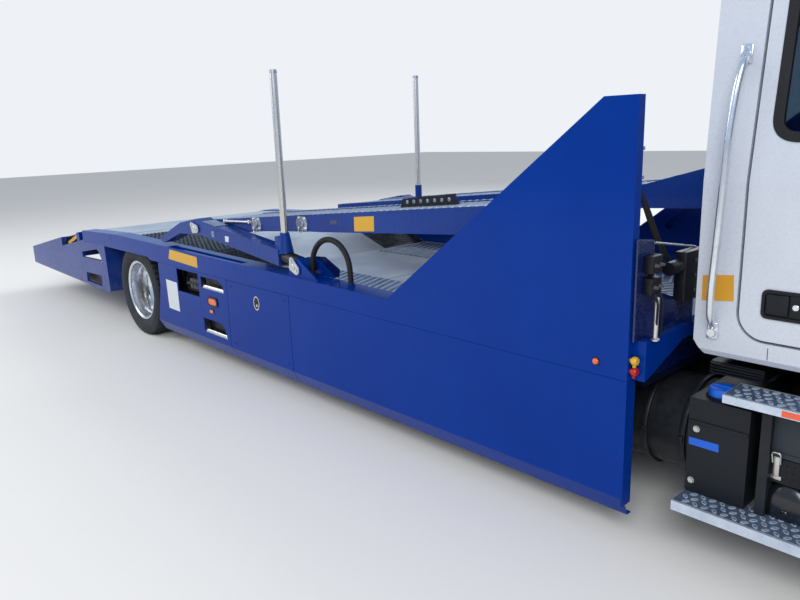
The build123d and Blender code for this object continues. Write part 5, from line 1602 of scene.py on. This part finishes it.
def padForm(shape, centre, half):
    # a crowned closed pad, thin along its third axis, with sewn channels and sides that pull in
    form = bmesh.new()
    bmesh.ops.create_cube(form, size=2)
    bmesh.ops.subdivide_edges(form, edges=form.edges[:], cuts=seats["cells"], use_grid_fill=True)
    verts = {}
    for vert in form.verts:
        reach = sum(abs(value) ** 7 for value in vert.co) ** (1 / 7)
        u, v, w = vert.co / reach
        pull = 0.035 * (1 - abs(w))
        edge = max(0, 1 - u ** 4) * max(0, 1 - v ** 4)
        groove = sum(math.exp(-((u - place) / 0.028) ** 2) for place in seats["channels"])
        rim = math.exp(-((max(abs(u), abs(v)) - 0.84) / 0.03) ** 2)
        thick = 1 - seats["crown"] * (1 - edge) - 0.16 * groove * edge - 0.12 * rim
        spot = (u * (1 - pull * (1 - v * v)) * half[0], v * (1 - pull * (1 - u * u)) * half[1],
                w * thick * half[2])
        verts[vert] = shape.verts.new(centre @ Vector(spot))
    for face in form.faces:
        shape.faces.new([verts[vert] for vert in face.verts])
    form.free()


def addSeats():
    middle, wide = (seats["inner"] + seats["outer"]) / 2, (seats["outer"] - seats["inner"]) / 2
    low, high = seats["cushion"]
    rear, back, front, top = (seats[key] for key in ("rear", "back", "front", "backTop"))
    pads = (
        ("seat_cushion", (0, 0, 1), ((back + front) / 2, middle, (low + high) / 2),
         (wide, (front - back) / 2 - 2, (high - low) / 2)),
        ("seat_back", (1, 0, 0), ((rear + back) / 2, middle, (low + 30 + top) / 2),
         (wide, (top - low - 30) / 2, (back - rear) / 2 - 1)),
    )
    for side in ("left", "right"):
        for name, outward, spot, half in pads:
            shape = bmesh.new()
            padForm(shape, facing(at(*spot), outward, (0, 1, 0)), half)
            if side == "right":
                mirror(shape)
            pad = finishPiece(f"{name}_{side}", shape, seatCloth, "truck", 60)


addSeats()
dash = {
    "section": ((6572, 1482, 10), (6810, 1482, 4), (6810, 1738, 10), (6690, 1738, 30), (6600, 1690, 30),
                (6562, 1600, 30)),
    "cowl": ((6590, 1690, 8), (6640, 1712, 8), (6700, 1738, 10), (6640, 1739.5, 10), (6585, 1722, 10)),
    # distances left of the dials and vents, and how far ahead and high their faces are
    "dials": (420, 530, 640),
    "dialFace": (6578, 1652),
    "vents": (-800, -450, -100, 860),
    "ventFace": (6561, 1585),
}
wheel = {"middle": (6400, 530, 1700), "normal": (-2, 0, 1), "ring": 202.5, "thick": 11.8, "steps": 56,
         "spokes": (0, 180, 270), "columnFoot": (6600, 530, 1600)}


@piece("dashboard", trimBlack, sides="right")
def dashboard(shape):
    plate(shape, roundedLoop(dash["section"], 4), 1956, toRight(-978))
    plate(shape, roundedLoop(dash["cowl"], 3), 420, toRight(-740))


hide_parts("cab_interior")


@piece("seat_stands", rubber)
def seatStands(shape):
    # ribbed bellows over each seat's spring
    place = toTop(*seats["stand"])
    for i in range(seats["bellows"]):
        half, wide = 185 - 10 * (i % 2), 195 - 10 * (i % 2)
        box(shape, (-half, -wide, 36 * i), (half, wide, 36 * i + 36), place, 6)
    box(shape, (-160, -235, 252), (235, 235, 267), place, 4)


@piece("dash_panels", satinBlack, sides="right")
def dashPanels(shape):
    # blank dials behind the wheel and vents across the dash
    for y in dash["dials"]:
        place = facing(at(dash["dialFace"][0], y, dash["dialFace"][1]), (-0.92, 0, 0.39), (0, -1, 0))
        lathe(shape, ((46, -4), (46, 4), (41, 5), (40, 2), (0, 2)), place, 28)
    for y in dash["vents"]:
        place = facing(at(dash["ventFace"][0], y, dash["ventFace"][1]), (-1, 0, 0.05), (0, -1, 0))
        frameRing(shape, roundRect(120, 62, 10), roundRect(104, 46, 6), 6, place, -2)
        for low in range(-20, 24, 11):
            box(shape, (-52, low, -2), (52, low + 4, 3), place)


@piece("steering_wheel", satinBlack, sides="right")
def steeringWheel(shape):
    place = facing(at(*wheel["middle"]), wheel["normal"], (0, -1, 0))
    turns = [circle * i / wheel["steps"] for i in range(wheel["steps"] + 1)]
    ring = [polar(place, wheel["ring"], turn).translation for turn in turns]
    pipe(shape, ring, wheel["thick"], 12, False)
    lathe(shape, ((62, -10), (64, 2), (52, 10), (20, 11.8), (0, 11.8)), place)
    lathe(shape, ((40, -12), (62, -10)), place)
    for angle in wheel["spokes"]:
        box(shape, (50, -15, -5), (196, 15, 4), place @ Matrix.Rotation(math.radians(angle), 4, "Z"), 3)


@piece("steering_column", trimBlack, sides="right")
def steeringColumn(shape):
    foot = at(*wheel["columnFoot"])
    top = at(*wheel["middle"]) - Vector(wheel["normal"]).normalized() * 8
    pipe(shape, [foot, foot.lerp(top, 0.45), foot.lerp(top, 0.55), top], [40, 34, 29, 26], 24)
    for reach in (110, -90):
        spot = foot.lerp(top, 0.66)
        pipe(shape, [spot, spot + Vector((0, reach, 25))], 5, 8)


print("interior fitted")

# Floor, world and lamps, in metres
studio = {
    "floorTone": (0.86, 0.86, 0.85),
    "floorSize": 90,
    "skyTone": (0.9, 0.93, 0.97),
    "skyPower": 0.55,
    "seenPower": 0.95,
    "reflectedTone": (0.42, 0.56, 0.80),
    # name, place, size and power
    "lamps": (("key", (9, -11, 9), 7, 1150), ("fill", (-10, -9, 7), 8, 600), ("back", (-3, 12, 10), 9, 900)),
}


def addFloor():
    finish, tree, shader, coords = newFinish("floor")
    tone = studio["floorTone"]
    base = mixColour(tree, noiseOf(tree, coords, 30), tone, tuple(value * 0.97 for value in tone))
    feed(tree, shader, {"Base Color": base, "Roughness": 0.8})
    half = studio["floorSize"] / 2
    mesh = bpy.data.meshes.new("floor")
    corners = [(-half, -half, 0), (half, -half, 0), (half, half, 0), (-half, half, 0)]
    mesh.from_pydata(corners, [], [(0, 1, 2, 3)])
    mesh.materials.append(finish)
    floor = bpy.data.objects.new("floor", mesh)
    bpy.context.collection.objects.link(floor)


def addLight():
    world = bpy.data.worlds.new("studio")
    world.use_nodes = True
    bpy.context.scene.world = world
    tree = world.node_tree
    rays = addNode(tree, "LightPath")
    kinds = {0: rays["Is Camera Ray"], 1: rays["Is Glossy Ray"]}
    seen = addNode(tree, "Math", kinds, operation="MAXIMUM")["Value"]
    # shiny faces reflect a bluer sky than the plain backdrop that the camera sees
    feed(tree, tree.nodes["Background"], {
        "Color": mixColour(tree, rays["Is Glossy Ray"], studio["skyTone"], studio["reflectedTone"]),
        "Strength": between(tree, seen, studio["skyPower"], studio["seenPower"], 0, 1)})
    for name, spot, size, power in studio["lamps"]:
        data = bpy.data.lights.new(name, "AREA")
        data.size = size
        data.energy = power
        lamp = bpy.data.objects.new(name, data)
        lamp.location = spot
        lamp.rotation_euler = (Vector((0, 0, 1)) - Vector(spot)).to_track_quat("-Z", "Y").to_euler()
        bpy.context.collection.objects.link(lamp)


addFloor()
addLight()
bpy.context.scene.view_settings.view_transform = "Standard"
print("studio set")
